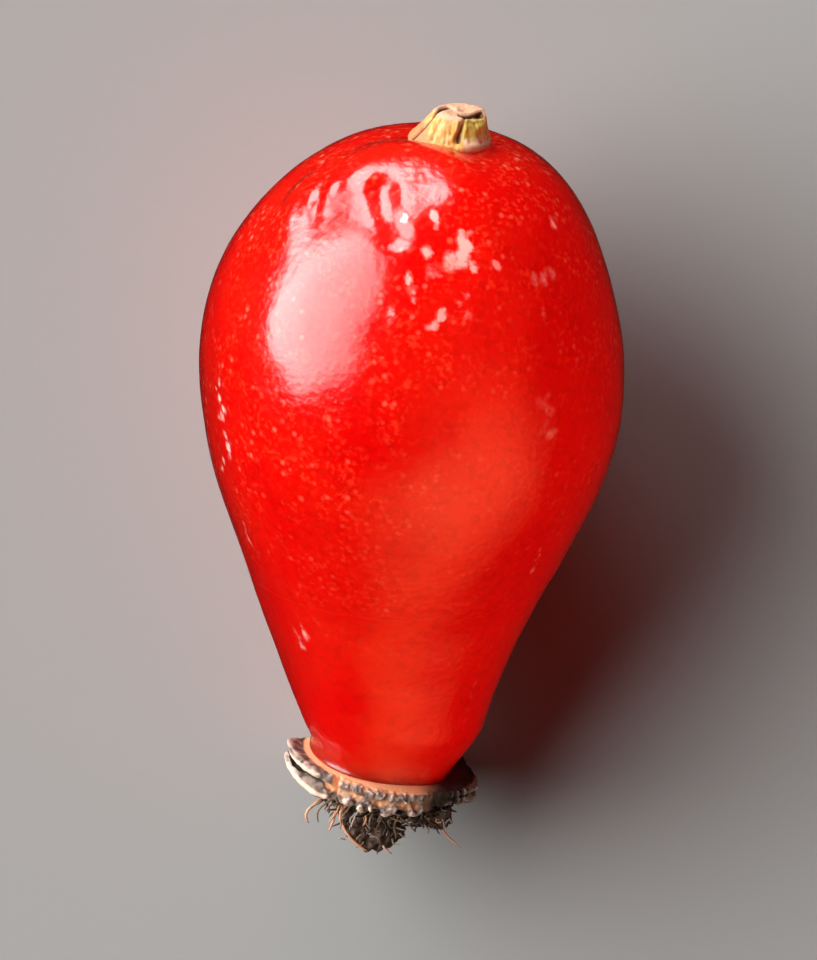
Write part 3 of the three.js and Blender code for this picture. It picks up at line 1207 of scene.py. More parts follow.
@dataclass(frozen=True)
class FibreFinish:
    """Dried fibres: each keeps its own tone, from brown-black through tan and grey to peach."""

    black: Colour = (0.030, 0.018, 0.013, 1.0)
    brown: Colour = (0.14, 0.075, 0.045, 1.0)
    tan: Colour = (0.42, 0.28, 0.17, 1.0)
    grey: Colour = (0.40, 0.36, 0.32, 1.0)
    peach: Colour = (0.85, 0.40, 0.22, 1.0)

    def material(self, place: Matrix) -> bpy.types.Material:
        """Mixes the finish.

        Args:
            place: The way from the calyx's bench to the world.

        Returns:
            The material.
        """
        mix = Mixing("dried fibre")
        grain = mix.spots(mix.bench(place), 0.12, Detail=2.0)
        tone = mix.kept("tone") + 0.2 * (grain - 0.5)
        base = mix.blend(mix.step(tone, 0.15, 0.35), self.black, self.brown)
        base = mix.blend(mix.step(tone, 0.40, 0.60), base, self.tan)
        base = mix.blend(mix.step(tone, 0.65, 0.75), base, self.grey)
        base = mix.blend(mix.step(tone, 0.85, 0.95), base, self.peach)
        return mix.close({"Base Color": base, "Roughness": 0.6})


@dataclass(frozen=True)
class Sepal:
    """One sepal stub.

    Attributes:
        number: Which stub it stands for.
        outline: Its edge. Each place has the degrees round from the calyx's +X towards the ground, the radius
            and the share of the profile's height.
        marks: Its own knobs, nicks and holes.
        crumple: How crumpled it is.
    """

    number: int
    outline: tuple[tuple[float, float, float], ...]
    marks: tuple[Stroke, ...] = ()
    crumple: float = 1.0


@dataclass(frozen=True)
class Stray:
    """A stamen that strays out past the sepals, where it can be seen.

    Attributes:
        tone: Its tone.
        radius: Its radius at the root.
        path: The places that it runs through, after its root.
    """

    tone: float
    radius: float
    path: tuple[tuple[float, float, float], ...]


@dataclass(frozen=True)
class Tones:
    """A mixture of tones, from brown-black at 0 to peach at 1.

    Attributes:
        tones: The tones.
        shares: How often each is drawn.
    """

    tones: tuple[float, ...]
    shares: tuple[float, ...]

    def draw(self, dice: np.random.Generator) -> float:
        """Draws one tone."""
        return dice.choice(self.tones, p=self.shares)


class Growth(Enum):
    """A kind of fibre: how much it turns at each station, its radius, and its stations."""

    HAIR = (0.35, 0.022, 4)
    STAMEN = (0.35, 0.07, 8)
    FILLING = (0.45, 0.05, 7)
    TUFT = (0.5, 0.06, 6)
    CLOT = (0.5, 0.045, 5)


@dataclass
class Calyx:
    """The dried calyx: five sepal stubs, the disc and its styles, the ring of stamens and the mat of fibres.

    Attributes:
        lie: How the hip lies.
        cad: The nodes that its pieces stand in for, by name.
        profile: The section of a sepal stub, as radius and height, before it is drawn out to its outline.
        sepals: The five stubs.
        collar: The radius up to which every stub keeps to the profile.
        profile_reach: How far the profile reaches past the collar.
        lobe_fade: How far out from the collar the lobe is fully a lobe.
        ragged: How unevenly a stub's edge is torn.
        droop: How far a lobe droops for each millimetre that it reaches past the radius where it starts to.
        droop_start: That radius.
        overlap: How far the collars of neighbouring stubs grow into each other, as an angle.
        slit: How far their lobes keep apart, as an angle.
        crumples: The size and the depth of each layer of crumpling.
        wrinkles: How many creases run out over a stub's edge.
        wrinkle_run: The radius and the height of the places that a crease runs through.
        disc_rings: The height and the radius of each ring of the disc.
        style_rings: The height and the radius of each ring of the cushion of styles.
        style_hairs: How many hairs the cushion has.
        style_heart: The height on the axis from which its hairs stand out.
        stamens: How many stamens there are.
        strays: The stamens that stray out past the sepals, by number.
        stamen_tones: The tones of the others.
        filling: How many fibres fill the calyx.
        filling_tones: Their tones.
        tufts: The tufts on the upper side. Each has the degrees round where it starts and ends, how many
            fibres it has, and how long the longest is.
        tuft_tones: The tones of their fibres.
        clots: The dark clots inside the tufts, each as its middle and its half sizes.
        clot_fibres: How many fibres stick out of a clot.
        clot_tones: Their tones.
        floor_gap: How far every fibre keeps off the floor, in millimetres.
        sepal_finish: The sepal stubs' finish.
        disc_finish: The disc's finish.
        fibre_finish: The finish of all that is fibrous.
    """

    lie: Lie
    cad: dict[str, bpy.types.Object]
    profile: tuple = (
        (1.95, -0.06), (2.20, -0.10), (2.50, -0.06), (2.74, 0.00), (2.86, 0.07), (2.96, 0.06),
        (3.06, 0.03), (3.20, 0.10), (3.26, 0.26), (3.16, 0.38), (3.04, 0.46), (3.12, 0.56), (3.24, 0.70),
        (3.22, 0.86), (3.06, 0.96), (2.86, 0.86), (2.66, 0.90), (2.45, 0.84), (2.28, 0.60),
    )
    sepals: tuple[Sepal, ...] = (
        Sepal(1, ((18.3, 2.80, 0.95), (35, 3.08, 1.0), (54, 3.36, 1.05), (74, 3.05, 1.0),
                  (89.7, 2.82, 0.9))),
        Sepal(2, ((90.3, 2.82, 0.9), (108, 3.08, 1.0), (126, 3.44, 1.0), (145, 3.12, 1.05),
                  (161.7, 2.88, 0.9))),
        Sepal(
            3,
            ((162.3, 2.95, 0.9), (172, 3.35, 0.9), (182, 3.60, 0.85), (190, 3.50, 0.9),
             (200, 3.42, 1.0), (218, 3.32, 1.15), (226, 3.20, 1.16), (233.6, 3.0, 1.05)),
            (
                Stroke(((-3.52, 0.62, 0.00), (-3.40, 0.66, -0.90), (-3.05, 0.76, -1.60),
                        (-2.50, 0.90, -2.25), (-2.00, 0.95, -2.60)), 0.16, 0.10),
                Stroke(((-3.30, 0.36, 0.00), (-3.16, 0.38, -0.90), (-2.80, 0.44, -1.60),
                        (-2.28, 0.50, -2.20), (-1.90, 0.52, -2.50)), 0.13, -0.16),
                Stroke(((-3.30, 0.12, 0.00), (-3.18, 0.14, -0.90), (-2.84, 0.18, -1.60),
                        (-2.34, 0.22, -2.20)), 0.14, 0.09),
            ),
            crumple=0.3,
        ),
        Sepal(
            4,
            ((234.2, 2.98, 1.0), (243, 3.02, 0.96), (262, 3.02, 0.98), (276, 3.04, 0.98),
             (286, 3.06, 0.92), (296, 3.00, 0.85), (305.7, 2.86, 0.75)),
            (
                Stroke(((-1.29, 0.76, -2.60), (-1.20, 0.80, -2.62)), 0.17, 0.13),
                Stroke(((-0.78, 0.76, -2.80), (-0.68, 0.78, -2.80)), 0.16, 0.12),
                Stroke(((-0.43, 0.76, -2.90), (-0.39, 0.76, -2.90)), 0.12, 0.10),
                Stroke(((-0.08, 0.84, -2.90), (0.04, 0.88, -2.90)), 0.15, 0.12),
                Stroke(((-1.00, 0.66, -2.75), (-0.95, 0.90, -2.70)), 0.12, -0.16),
                Stroke(((-0.24, 0.60, -2.90), (-0.22, 0.90, -2.85)), 0.12, -0.16),
                Stroke(((0.52, 0.70, -3.00), (0.62, 0.74, -3.00)), 0.15, -0.22),
                Stroke(((0.69, 0.34, -2.90), (0.75, 0.38, -2.90)), 0.14, 0.10),
                Stroke(((0.98, 0.40, -2.80), (1.08, 0.66, -2.80)), 0.12, -0.10),
            ),
        ),
        Sepal(5, ((306.3, 2.82, 0.65), (318, 2.95, 0.6), (330, 3.05, 0.62), (345, 3.16, 0.75),
                  (360, 3.06, 0.9), (377.7, 2.82, 0.95))),
    )
    collar: float = 2.77
    profile_reach: float = 0.49
    lobe_fade: float = 0.2
    ragged: float = 0.02
    droop: float = 0.55
    droop_start: float = 3.10
    overlap: float = 0.07
    slit: float = 0.035
    crumples: tuple = ((0.34, 0.20), (0.12, 0.055))
    wrinkles: int = 9
    wrinkle_run: tuple = ((3.0, -0.1), (3.4, 0.1), (3.4, 0.6), (2.9, 1.2))
    disc_rings: tuple = (
        (0.02, 2.20), (0.08, 2.36), (0.50, 2.40), (0.86, 2.40), (0.98, 2.32), (1.03, 2.20),
        (0.98, 2.02), (0.84, 1.74), (0.66, 1.40), (0.55, 1.05), (0.50, 0.70), (0.50, 0.35),
    )
    style_rings: tuple = ((0.45, 0.55), (0.55, 0.70), (0.85, 0.76), (1.15, 0.70), (1.40, 0.52), (1.55, 0.28))
    style_hairs: int = 70
    style_heart: float = 0.85
    stamens: int = 26
    strays: dict[int, Stray] = field(default_factory=lambda: {
        16: Stray(0.95, 0.085, ((-2.15, 1.39, -1.60), (-2.51, 1.66, -1.80), (-2.50, 1.92, -1.90),
                                (-2.21, 2.27, -1.80))),
        17: Stray(0.93, 0.080, ((-1.54, 2.01, -2.00), (-1.78, 2.42, -2.10))),
        18: Stray(0.97, 0.085, ((-1.47, 1.47, -2.00), (-1.26, 1.81, -2.20), (-0.91, 2.22, -2.30),
                                (-0.43, 2.49, -2.30), (-0.04, 2.62, -2.30))),
        19: Stray(0.80, 0.080, ((-1.14, 1.60, -2.20), (-0.92, 1.70, -2.30), (-0.57, 1.71, -2.20))),
        21: Stray(0.90, 0.080, ((0.00, 1.60, -2.15), (0.16, 2.28, -2.20), (0.45, 2.45, -2.30),
                                (0.70, 2.53, -2.30))),
        24: Stray(0.93, 0.065, ((2.00, 1.35, -1.45), (2.20, 1.75, -1.55), (2.62, 1.96, -1.60),
                                (3.02, 2.20, -1.60))),
    })
    stamen_tones: Tones = Tones((0.1, 0.3, 0.5, 0.55, 0.7, 0.9), (0.2, 0.25, 0.2, 0.15, 0.15, 0.05))
    filling: int = 120
    filling_tones: Tones = Tones((0.1, 0.3, 0.5, 0.55, 0.7, 0.9), (0.25, 0.25, 0.2, 0.15, 0.12, 0.03))
    tufts: tuple = ((228.0, 290.0, 110, 1.6), (298.0, 335.0, 36, 1.0))
    tuft_tones: Tones = Tones((0.05, 0.2, 0.5, 0.7, 0.95), (0.30, 0.30, 0.20, 0.16, 0.04))
    clots: tuple = (((-0.22, 1.75, -2.05), (1.05, 0.80, 0.20)), ((1.75, 1.10, -1.65), (0.60, 0.42, 0.20)))
    clot_fibres: int = 26
    clot_tones: Tones = Tones((0.25, 0.5, 0.72, 0.95), (0.35, 0.25, 0.35, 0.05))
    floor_gap: float = 0.15
    sepal_finish: SepalFinish = field(default_factory=SepalFinish)
    disc_finish: DiscFinish = field(default_factory=DiscFinish)
    fibre_finish: FibreFinish = field(default_factory=FibreFinish)
    place: Matrix = field(init=False)
    dice: np.random.Generator = field(init=False)

    def __post_init__(self) -> None:
        """Works out where the calyx is, and seeds what is scattered."""
        self.place = self.lie.calyx_place()
        self.dice = np.random.default_rng(11)

    def build(self) -> list[bpy.types.Object]:
        """Models the whole calyx.

        Returns:
            Its pieces.
        """
        dried = self.sepal_finish.material(self.place)
        fibrous = self.fibre_finish.material(self.place)
        pieces = [self.sepal(sepal, dried) for sepal in self.sepals]
        pieces += [self.disc(), self.styles(fibrous)]
        pieces += [self.stamen(number, fibrous) for number in range(1, self.stamens + 1)]
        return [*pieces, self.mat(fibrous)]

    def finish_piece(self, obj: bpy.types.Object, material: bpy.types.Material, stands_for: str | None) -> bpy.types.Object:
        """Puts a piece in its place, finishes it and attaches it to the root.

        Args:
            obj: The piece, on the calyx's bench.
            material: Its finish.
            stands_for: The node that it stands in for, if any.

        Returns:
            The piece.
        """
        put_in_place(obj, self.place)
        wear(obj, material)
        bpy.ops.object.shade_smooth()
        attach(obj, "root")
        if stands_for:
            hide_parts(stands_for)
        return obj

    def sepal(self, sepal: Sepal, material: bpy.types.Material) -> bpy.types.Object:
        """Models one sepal stub.

        Args:
            sepal: Its sizes.
            material: Its finish.

        Returns:
            The finished piece.
        """
        rows = np.array(sepal.outline)
        turns = np.radians(rows[:, 0])
        stub = turn_part_way(f"sepal_{sepal.number}", self.profile, turns[0], turns[-1], 20)
        points = places(stub)
        angle = np.mod(np.arctan2(points[:, 2], points[:, 0]) - turns[0] + 0.01, math.tau) + turns[0] - 0.01
        radius = np.hypot(points[:, 0], points[:, 2])
        reach, tall = (np.interp(angle, turns, column) for column in rows[:, 1:].T)
        reach += self.dice.normal(0.0, self.ragged, len(points))
        past = radius - self.collar
        grown = np.where(past > 0.0, self.collar + past * (reach - self.collar) / self.profile_reach, radius)
        points[:, 1] = points[:, 1] * tall - self.droop * np.maximum(grown - self.droop_start, 0.0)
        lobe = np.clip(past / self.lobe_fade, 0.0, 1.0)
        middle, width = (turns[0] + turns[-1]) / 2, turns[-1] - turns[0]
        growth = self.overlap - (self.overlap + self.slit) * lobe
        angle += growth * 2.0 * (angle - middle) / width
        points[:, 0], points[:, 2] = grown * np.cos(angle), grown * np.sin(angle)
        set_places(stub, points)
        finish_modifier(stub, "SUBSURF", levels=2)
        keep(stub, "cut", work(stub, sepal.marks, nearest))
        work(stub, self.creases(turns[0], turns[-1], sepal.crumple), nearest)
        finish_modifier(stub, "SUBSURF", levels=1)
        self.crumple(stub, sepal.crumple)
        keep_relief(stub, passes=30)
        return self.finish_piece(stub, material, f"sepal_stub_{sepal.number}")

    def crumple(self, stub: bpy.types.Object, share: float) -> None:
        """Crumples a sepal stub, and leaves the collar next to the flesh smooth.

        Args:
            stub: The stub.
            share: How much it is crumpled, as a share.
        """
        for size, depth in self.crumples:
            smooth = places(stub)
            roughen(stub, size, depth)
            past = np.hypot(smooth[:, 0], smooth[:, 2]) - self.collar
            away = np.clip(past / self.lobe_fade, 0.0, 1.0)[:, None]
            set_places(stub, smooth + share * away * (places(stub) - smooth))

    def creases(self, start: float, end: float, share: float) -> tuple[Stroke, ...]:
        """Scatters the creases that run out over a sepal stub's edge.

        Args:
            start: Where the stub starts, in radians round.
            end: Where it ends.
            share: How deep they are, as a share.

        Returns:
            The creases.
        """
        even = np.linspace(start, end, self.wrinkles + 2)[1:-1]
        strokes = []
        for angle in even + self.dice.uniform(-0.05, 0.05, self.wrinkles):
            lean = self.dice.uniform(-0.08, 0.08)
            turns = [angle + step * lean for step in range(len(self.wrinkle_run))]
            path = tuple((out * math.cos(turn), high, out * math.sin(turn))
                         for turn, (out, high) in zip(turns, self.wrinkle_run))
            width, rise = self.dice.uniform(0.09, 0.16), self.dice.uniform(-0.12, 0.04)
            strokes.append(Stroke(path, width, share * rise))
        return tuple(strokes)

    def disc(self) -> bpy.types.Object:
        """Models the disc, with its raised rim and its hollow middle.

        Returns:
            The finished piece.
        """
        rings = tuple((height, 0.0, radius, radius) for height, radius in self.disc_rings)
        disc = build_up("dried_disc", rings, sides=48)
        finish_modifier(disc, "SUBSURF", levels=2)
        roughen(disc, size=0.3, depth=0.12)
        return self.finish_piece(disc, self.disc_finish.material(self.place), "calyx_disc")

    def styles(self, material: bpy.types.Material) -> bpy.types.Object:
        """Models the felted cushion of styles in the middle, with its short hairs.

        Args:
            material: Its finish.

        Returns:
            The finished piece.
        """
        rings = tuple((height, 0.0, radius, radius) for height, radius in self.style_rings)
        cushion = build_up("style_cushion", rings, sides=24)
        finish_modifier(cushion, "SUBSURF", levels=2)
        roughen(cushion, size=0.22, depth=0.30)
        tint(cushion, 0.62)
        pieces = [cushion]
        for _ in range(self.style_hairs):
            out = Vector(self.dice.normal(size=3))
            out.y = abs(out.y) + 0.2  # every hair stands up a little
            out.normalize()
            root = Vector((0.0, self.style_heart, 0.0)) + 0.6 * out
            length, tone = self.dice.uniform(0.25, 0.5), self.dice.uniform(0.45, 0.8)
            pieces.append(self.fibre("hair", root, out, length, tone, Growth.HAIR))
        return self.finish_piece(join(pieces), material, "style_knob")

    def stamen(self, number: int, material: bpy.types.Material) -> bpy.types.Object:
        """Models one dried stamen.

        Args:
            number: Which one of the ring.
            material: Its finish.

        Returns:
            The finished piece.
        """
        node = self.cad[f"stamen_{number:02d}"]
        points = places(node) @ np.array(self.place.inverted().to_3x3()).T
        points += np.array(self.place.inverted().translation)
        root = Vector(points[points[:, 1] < points[:, 1].min() + 0.2].mean(axis=0)) - Vector((0.0, 0.05, 0.0))
        name = f"dried_stamen_{number:02d}"
        if number in self.strays:
            stray = self.strays[number]
            path = [root, *(Vector(place) for place in stray.path)]
            obj = self.thread(name, path, stray.radius, stray.tone)
        else:
            out = Vector((root.x, 0.0, root.z)).normalized()
            heading = Vector((0.0, 1.0, 0.0)) + self.dice.uniform(-1.1, 0.1) * out
            tone = self.stamen_tones.draw(self.dice)
            obj = self.fibre(name, root, heading, self.dice.uniform(0.9, 1.5), tone, Growth.STAMEN)
        return self.finish_piece(obj, material, f"stamen_{number:02d}")

    def mat(self, material: bpy.types.Material) -> bpy.types.Object:
        """Models the mat of dried fibres that fills the calyx, with the dark tufts on its upper side.

        Args:
            material: Its finish.

        Returns:
            The finished piece.
        """
        fibres = [self.filling_fibre() for _ in range(self.filling)]
        for start, end, count, length in self.tufts:
            fibres += [self.tuft_fibre(start, end, length) for _ in range(count)]
        for middle, half in self.clots:
            fibres.append(self.clot(Vector(middle), Vector(half)))
            fibres += [self.clot_fibre(Vector(middle), half) for _ in range(self.clot_fibres)]
        return self.finish_piece(join(fibres, "fibre_mat"), material, None)

    def filling_fibre(self) -> bpy.types.Object:
        """Models one of the fibres that fill the calyx.

        Returns:
            The fibre.
        """
        angle = self.dice.uniform(0.0, math.tau)
        radius = self.dice.uniform(0.9, 2.4)
        out = Vector((math.cos(angle), 0.0, math.sin(angle)))
        side = Vector((-out.z, 0.0, out.x))
        lean = self.dice.normal(0.0, 0.7) * out + self.dice.normal(0.0, 0.7) * side
        root = radius * out + Vector((0.0, 0.7 + 0.2 * max(0.0, radius - 1.4), 0.0))
        tone = self.filling_tones.draw(self.dice)
        length = self.dice.uniform(0.8, 1.6)
        return self.fibre("fibre", root, Vector((0.0, 0.8, 0.0)) + lean, length, tone, Growth.FILLING)

    def tuft_fibre(self, start: float, end: float, length: float) -> bpy.types.Object:
        """Models one fibre of a tuft.

        Args:
            start: Where the tuft starts, in degrees round.
            end: Where it ends.
            length: How long its longest fibres are.

        Returns:
            The fibre.
        """
        angle = math.radians(self.dice.uniform(start, end))
        radius = self.dice.uniform(1.8, 2.5)
        root = Vector((radius * math.cos(angle), 0.85, radius * math.sin(angle)))
        heading = Vector((self.dice.normal(0.0, 0.35), 1.0, self.dice.normal(-0.05, 0.15)))
        tone = self.tuft_tones.draw(self.dice)
        return self.fibre("fibre", root, heading, self.dice.uniform(0.4, 1.0) * length, tone, Growth.TUFT)

    def clot_fibre(self, middle: Vector, half: tuple[float, float, float]) -> bpy.types.Object:
        """Models one fibre that sticks out of a clot.

        Args:
            middle: The clot's middle.
            half: Its half sizes.

        Returns:
            The fibre.
        """
        across = self.dice.uniform(-0.9, 0.9) * half[0]
        along = self.dice.uniform(-0.8, 0.7) * half[1]
        heading = Vector((self.dice.normal(0.0, 0.8), 0.5 + self.dice.normal(0.0, 0.5), 0.0))
        tone = self.clot_tones.draw(self.dice)
        root = middle + Vector((across, along, -half[2]))
        return self.fibre("fibre", root, heading, self.dice.uniform(0.3, 0.7), tone, Growth.CLOT)

    @staticmethod
    def clot(middle: Vector, half: Vector) -> bpy.types.Object:
        """Models a dark clot of fibres inside a tuft.

        Args:
            middle: Its middle.
            half: Its half sizes.

        Returns:
            The clot.
        """
        bpy.ops.mesh.primitive_ico_sphere_add(subdivisions=5, radius=1.0, location=middle, scale=half)
        clot = bpy.context.object
        bpy.ops.object.transform_apply(location=True, rotation=True, scale=True)
        roughen(clot, size=0.3, depth=0.5)
        roughen(clot, size=0.1, depth=0.15)
        tint(clot, 0.26)
        return clot

    def fibre(self, name: str, root: Vector, heading: Vector, length: float, tone: float,
              growth: Growth) -> bpy.types.Object:
        """Models a kinked fibre.

        Args:
            name: Its name.
            root: Where it grows.
            heading: Which way it sets off.
            length: How long it is.
            tone: Its tone, from brown-black at 0 to peach at 1.
            growth: Its kind.

        Returns:
            The fibre.
        """
        kink, radius, stations = growth.value
        path = [root]
        heading = heading.normalized()
        for _ in range(stations):
            path.append(path[-1] + heading * length / stations)
            heading = (heading + kink * Vector(self.dice.normal(size=3))).normalized()
        return self.thread(name, path, radius, tone)

    def thread(self, name: str, path: list[Vector], radius: float, tone: float) -> bpy.types.Object:
        """Models a fibre along a path, tapered to its tip and clear of the floor.

        Args:
            name: Its name.
            path: The places that it runs through.
            radius: Its radius at the root.
            tone: Its tone, from brown-black at 0 to peach at 1.

        Returns:
            The fibre.
        """
        clear = []
        for point in path:
            spot = self.place @ point
            spot.z = max(spot.z, self.floor_gap * MM)
            clear.append(self.place.inverted() @ spot)
        shares = np.linspace(0.0, 1.0, len(clear))
        radii = [float(radius * (1.0 - 0.45 * share) * self.dice.uniform(0.85, 1.15)) for share in shares]
        obj = draw_out(name, clear, radii, 6)
        finish_modifier(obj, "SUBSURF", levels=1)
        tint(obj, tone)
        return obj


# ---------------------------------------------------------------------------------------------------------
# The studio
# ---------------------------------------------------------------------------------------------------------


@dataclass(frozen=True)
class Softbox:
    """A round soft light that faces the hip.

    Attributes:
        azimuth: Degrees round from +X towards +Y.
        height: Degrees above the floor.
        spread: Half the angle that it fills, in degrees, as seen from the hip.
        glow: Its radiance in the middle.
        softness: The share of its radius over which it fades out.
        away: Its distance in metres.
        colour: Its colour.
        lean: How much brighter its lower edge is than its middle, and its upper edge dimmer.
    """

    azimuth: float
    height: float
    spread: float
    glow: float
    softness: float = 0.0
    away: float = 2.0
    colour: tuple[float, float, float] = (1.0, 1.0, 1.0)
    lean: float = 0.0

    def build(self, name: str, target: Vector) -> bpy.types.Object:
        """Hangs the light.

        Args:
            name: The light's name.
            target: The point that it faces.

        Returns:
            The light.
        """
        around, up = math.radians(self.azimuth), math.radians(self.height)
        toward = Vector((math.cos(around) * math.cos(up), math.sin(around) * math.cos(up), math.sin(up)))
        radius = self.away * math.tan(math.radians(self.spread))
        lamp = bpy.data.lights.new(name, "AREA")
        lamp.shape = "DISK"
        lamp.size = 2 * radius
        lamp.energy = self.glow * math.pi * math.pi * radius**2
        lamp.color = self.colour
        self.fade_edge(lamp)
        light = bpy.data.objects.new(name, lamp)
        light.location = target + toward * self.away
        light.rotation_euler = toward.to_track_quat("Z", "Y").to_euler()
        light.visible_camera = False
        bpy.context.scene.collection.objects.link(light)
        return light

    def fade_edge(self, lamp: bpy.types.Light) -> None:
        """Makes the light fade towards its edge and its top, as the cloth of a softbox does.

        Args:
            lamp: The light's data.
        """
        lamp.use_nodes = True
        tree = lamp.node_tree
        place = tree.nodes.new("ShaderNodeNewGeometry")
        centred = tree.nodes.new("ShaderNodeVectorMath")
        centred.operation = "DISTANCE"
        centred.inputs[1].default_value = (0.5, 0.5, 0.0)
        parts = tree.nodes.new("ShaderNodeSeparateXYZ")
        edge = self._ramp(tree, 0.5 - 0.5 * self.softness, 0.5, 1.0, 0.0)
        slope = self._ramp(tree, 0.0, 1.0, 1.0 + self.lean, 1.0 - self.lean)
        both = tree.nodes.new("ShaderNodeMath")
        both.operation = "MULTIPLY"
        tree.links.new(place.outputs["Parametric"], centred.inputs[0])
        tree.links.new(place.outputs["Parametric"], parts.inputs[0])
        tree.links.new(centred.outputs["Value"], edge.inputs["Value"])
        tree.links.new(parts.outputs["Y"], slope.inputs["Value"])
        tree.links.new(edge.outputs["Result"], both.inputs[0])
        tree.links.new(slope.outputs["Result"], both.inputs[1])
        tree.links.new(both.outputs["Value"], tree.nodes["Emission"].inputs["Strength"])

    @staticmethod
    def _ramp(tree: bpy.types.NodeTree, low: float, high: float, start: float, end: float) -> bpy.types.Node:
        """Adds a smooth step from start, at low, to end, at high.

        Args:
            tree: The light's nodes.
            low: Where the step starts.
            high: Where it ends.
            start: What it starts from.
            end: What it ends at.

        Returns:
            The node.
        """
        ramp = tree.nodes.new("ShaderNodeMapRange")
        ramp.interpolation_type = "SMOOTHSTEP"
        for name, value in (("From Min", low), ("From Max", high), ("To Min", start), ("To Max", end)):
            ramp.inputs[name].default_value = value
        return ramp


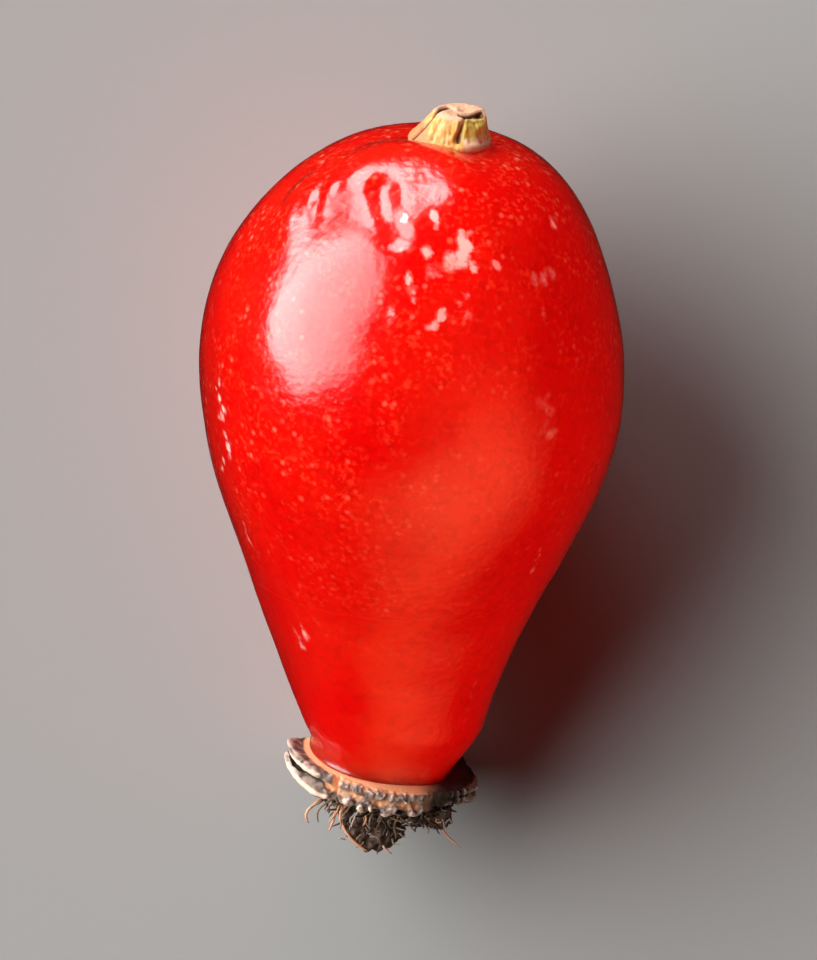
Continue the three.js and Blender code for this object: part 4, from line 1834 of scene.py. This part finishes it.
@dataclass
class Studio:
    """The floor, the lights and the camera.

    Attributes:
        lie: How the hip lies.
        skin: The fruit.
        stalk: The stub of the stalk.
        calyx: The pieces of the calyx.
        middle: The middle of the view, on the hip's bench.
        tip: How far the camera is tipped towards the stalk, as an angle.
        roll: How far it is rolled, as an angle.
        lens: Its focal length in millimetres.
        sensor: The height of its sensor in millimetres.
        frame_height: The height of the view in millimetres.
        floor_radius: The floor's radius in metres.
        floor_drop: How far the floor lies below the hip, in millimetres, so that the two don't mix.
        floor_colour: The floor's colour.
        sky_colour: The colour of the room's even light.
        sky_glow: How bright that light is.
        backdrop_colour: What is seen past the floor's end.
        key: The main light.
        rim: The low light behind the stalk's end.
        fill: The warm light that falls on the fruit and the stalk.
        streak: The warm light low on the neck.
        low: The light on the calyx.
        glow: The deep red light on the fruit's shaded side.
    """

    lie: Lie
    skin: bpy.types.Object
    stalk: bpy.types.Object
    calyx: list[bpy.types.Object]
    middle: Vector = field(default_factory=lambda: Vector((0.14, 10.0, 0.0)))
    tip: float = math.radians(2.47)
    roll: float = math.radians(3.0)
    lens: float = 500.0
    sensor: float = 36.0
    frame_height: float = 32.1
    floor_radius: float = 10.0
    floor_drop: float = 0.02
    floor_colour: Colour = (0.50, 0.493, 0.478, 1.0)
    sky_colour: Colour = (1.0, 0.55, 0.45, 1.0)
    sky_glow: float = 0.02
    backdrop_colour: Colour = (0.80, 0.79, 0.77, 1.0)
    key: Softbox = Softbox(162.0, 33.0, 36.0, 5.6, 0.3, lean=0.6)
    rim: Softbox = Softbox(112.0, 11.0, 17.0, 5.6, 0.2)
    fill: Softbox = Softbox(-50.0, 25.0, 42.0, 2.3, 0.9, colour=(1.0, 0.17, 0.07))
    streak: Softbox = Softbox(-86.0, 24.0, 32.0, 0.8, 0.9, colour=(1.0, 0.34, 0.12))
    low: Softbox = Softbox(-75.0, 42.0, 35.0, 1.1, 0.8, colour=(1.0, 0.80, 0.68))
    glow: Softbox = Softbox(15.0, 50.0, 40.0, 1.3, 0.5, colour=(1.0, 0.03, 0.01))

    def build(self) -> None:
        """Sets up the floor, the lights and the camera."""
        target = self.lie.hip_place() @ self.middle
        self.lay_floor()
        self.key.build("key softbox", target)
        self.rim.build("rim softbox", target)
        self.light_only(self.fill.build("warm fill", target), [self.skin, self.stalk])
        self.light_only(self.low.build("calyx fill", target), self.calyx)
        self.light_only(self.streak.build("low warm fill", target), [self.skin])
        self.light_only(self.glow.build("warm glow", target), [self.skin])
        self.light_sky()
        self.stand_camera(target)

    @staticmethod
    def light_only(light: bpy.types.Object, pieces: list[bpy.types.Object]) -> None:
        """Lets a light fall on some pieces and on nothing else.

        Args:
            light: The light.
            pieces: The pieces.
        """
        lit = bpy.data.collections.new(light.name)
        for piece in pieces:
            lit.objects.link(piece)
        light.light_linking.receiver_collection = lit

    def lay_floor(self) -> None:
        """Lays the pale floor that the hip lies on."""
        bpy.ops.mesh.primitive_circle_add(vertices=96, radius=self.floor_radius, fill_type="NGON")
        floor = bpy.context.object
        floor.name = "floor"
        floor.location.z = -self.floor_drop * MM
        floor.visible_glossy = False
        mix = Mixing("pale floor")
        matt = {"Base Color": self.floor_colour, "Roughness": 0.7, "Specular IOR Level": 0.0}
        wear(floor, mix.close(matt))

    def light_sky(self) -> None:
        """Gives the room its low even light, and a pale backdrop past the floor's end."""
        world = bpy.data.worlds.new("room")
        world.use_nodes = True
        tree = world.node_tree
        back = tree.nodes["Background"]
        back.inputs["Color"].default_value = self.sky_colour
        back.inputs["Strength"].default_value = self.sky_glow
        backdrop = tree.nodes.new("ShaderNodeBackground")
        backdrop.inputs["Color"].default_value = self.backdrop_colour
        choice = tree.nodes.new("ShaderNodeMixShader")
        path = tree.nodes.new("ShaderNodeLightPath")
        tree.links.new(path.outputs["Is Camera Ray"], choice.inputs[0])
        tree.links.new(back.outputs[0], choice.inputs[1])
        tree.links.new(backdrop.outputs[0], choice.inputs[2])
        tree.links.new(choice.outputs[0], tree.nodes["World Output"].inputs["Surface"])
        bpy.context.scene.world = world

    def stand_camera(self, target: Vector) -> None:
        """Stands the camera over the hip, a little towards the stalk.

        Args:
            target: The point in the middle of the view.
        """
        back = Vector((0.0, math.sin(self.tip), math.cos(self.tip)))
        along = Vector((0.0, math.cos(self.tip), -math.sin(self.tip)))
        across = Vector((1.0, 0.0, 0.0))
        right = across * math.cos(self.roll) + along * math.sin(self.roll)
        up = along * math.cos(self.roll) - across * math.sin(self.roll)
        camera = bpy.data.objects.new("camera", bpy.data.cameras.new("camera"))
        camera.data.lens = self.lens
        camera.data.sensor_width = self.sensor
        camera.data.clip_start = 0.01
        camera.data.clip_end = 50.0
        away = self.frame_height * MM * self.lens / self.sensor
        turn = Matrix((right, up, back)).transposed()
        camera.matrix_world = Matrix.Translation(target + back * away) @ turn.to_4x4()
        bpy.context.scene.collection.objects.link(camera)
        bpy.context.scene.camera = camera
        bpy.context.scene.view_settings.view_transform = "Standard"


def main() -> None:
    """Builds the hip and its studio, reports each piece and notes the size."""
    logging.basicConfig(level=logging.INFO, format="%(message)s")
    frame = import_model()
    lie = Lie.of_flesh(frame["nodes"]["hip_flesh"])
    log.info("join at %s", tuple(round(value, 5) for value in lie.join))
    skin = Fruit(lie, frame["nodes"]["hip_flesh"]).build()
    stalk = Stalk(lie, frame["nodes"]["stem_stub"]).build()
    calyx = Calyx(lie, frame["nodes"]).build()
    for piece in (skin, stalk, *calyx):
        log.info("%s: %d triangles", piece.name, sum(len(face.vertices) - 2 for face in piece.data.polygons))
    Studio(lie, skin, stalk, calyx).build()


if __name__ == "__main__":
    main()
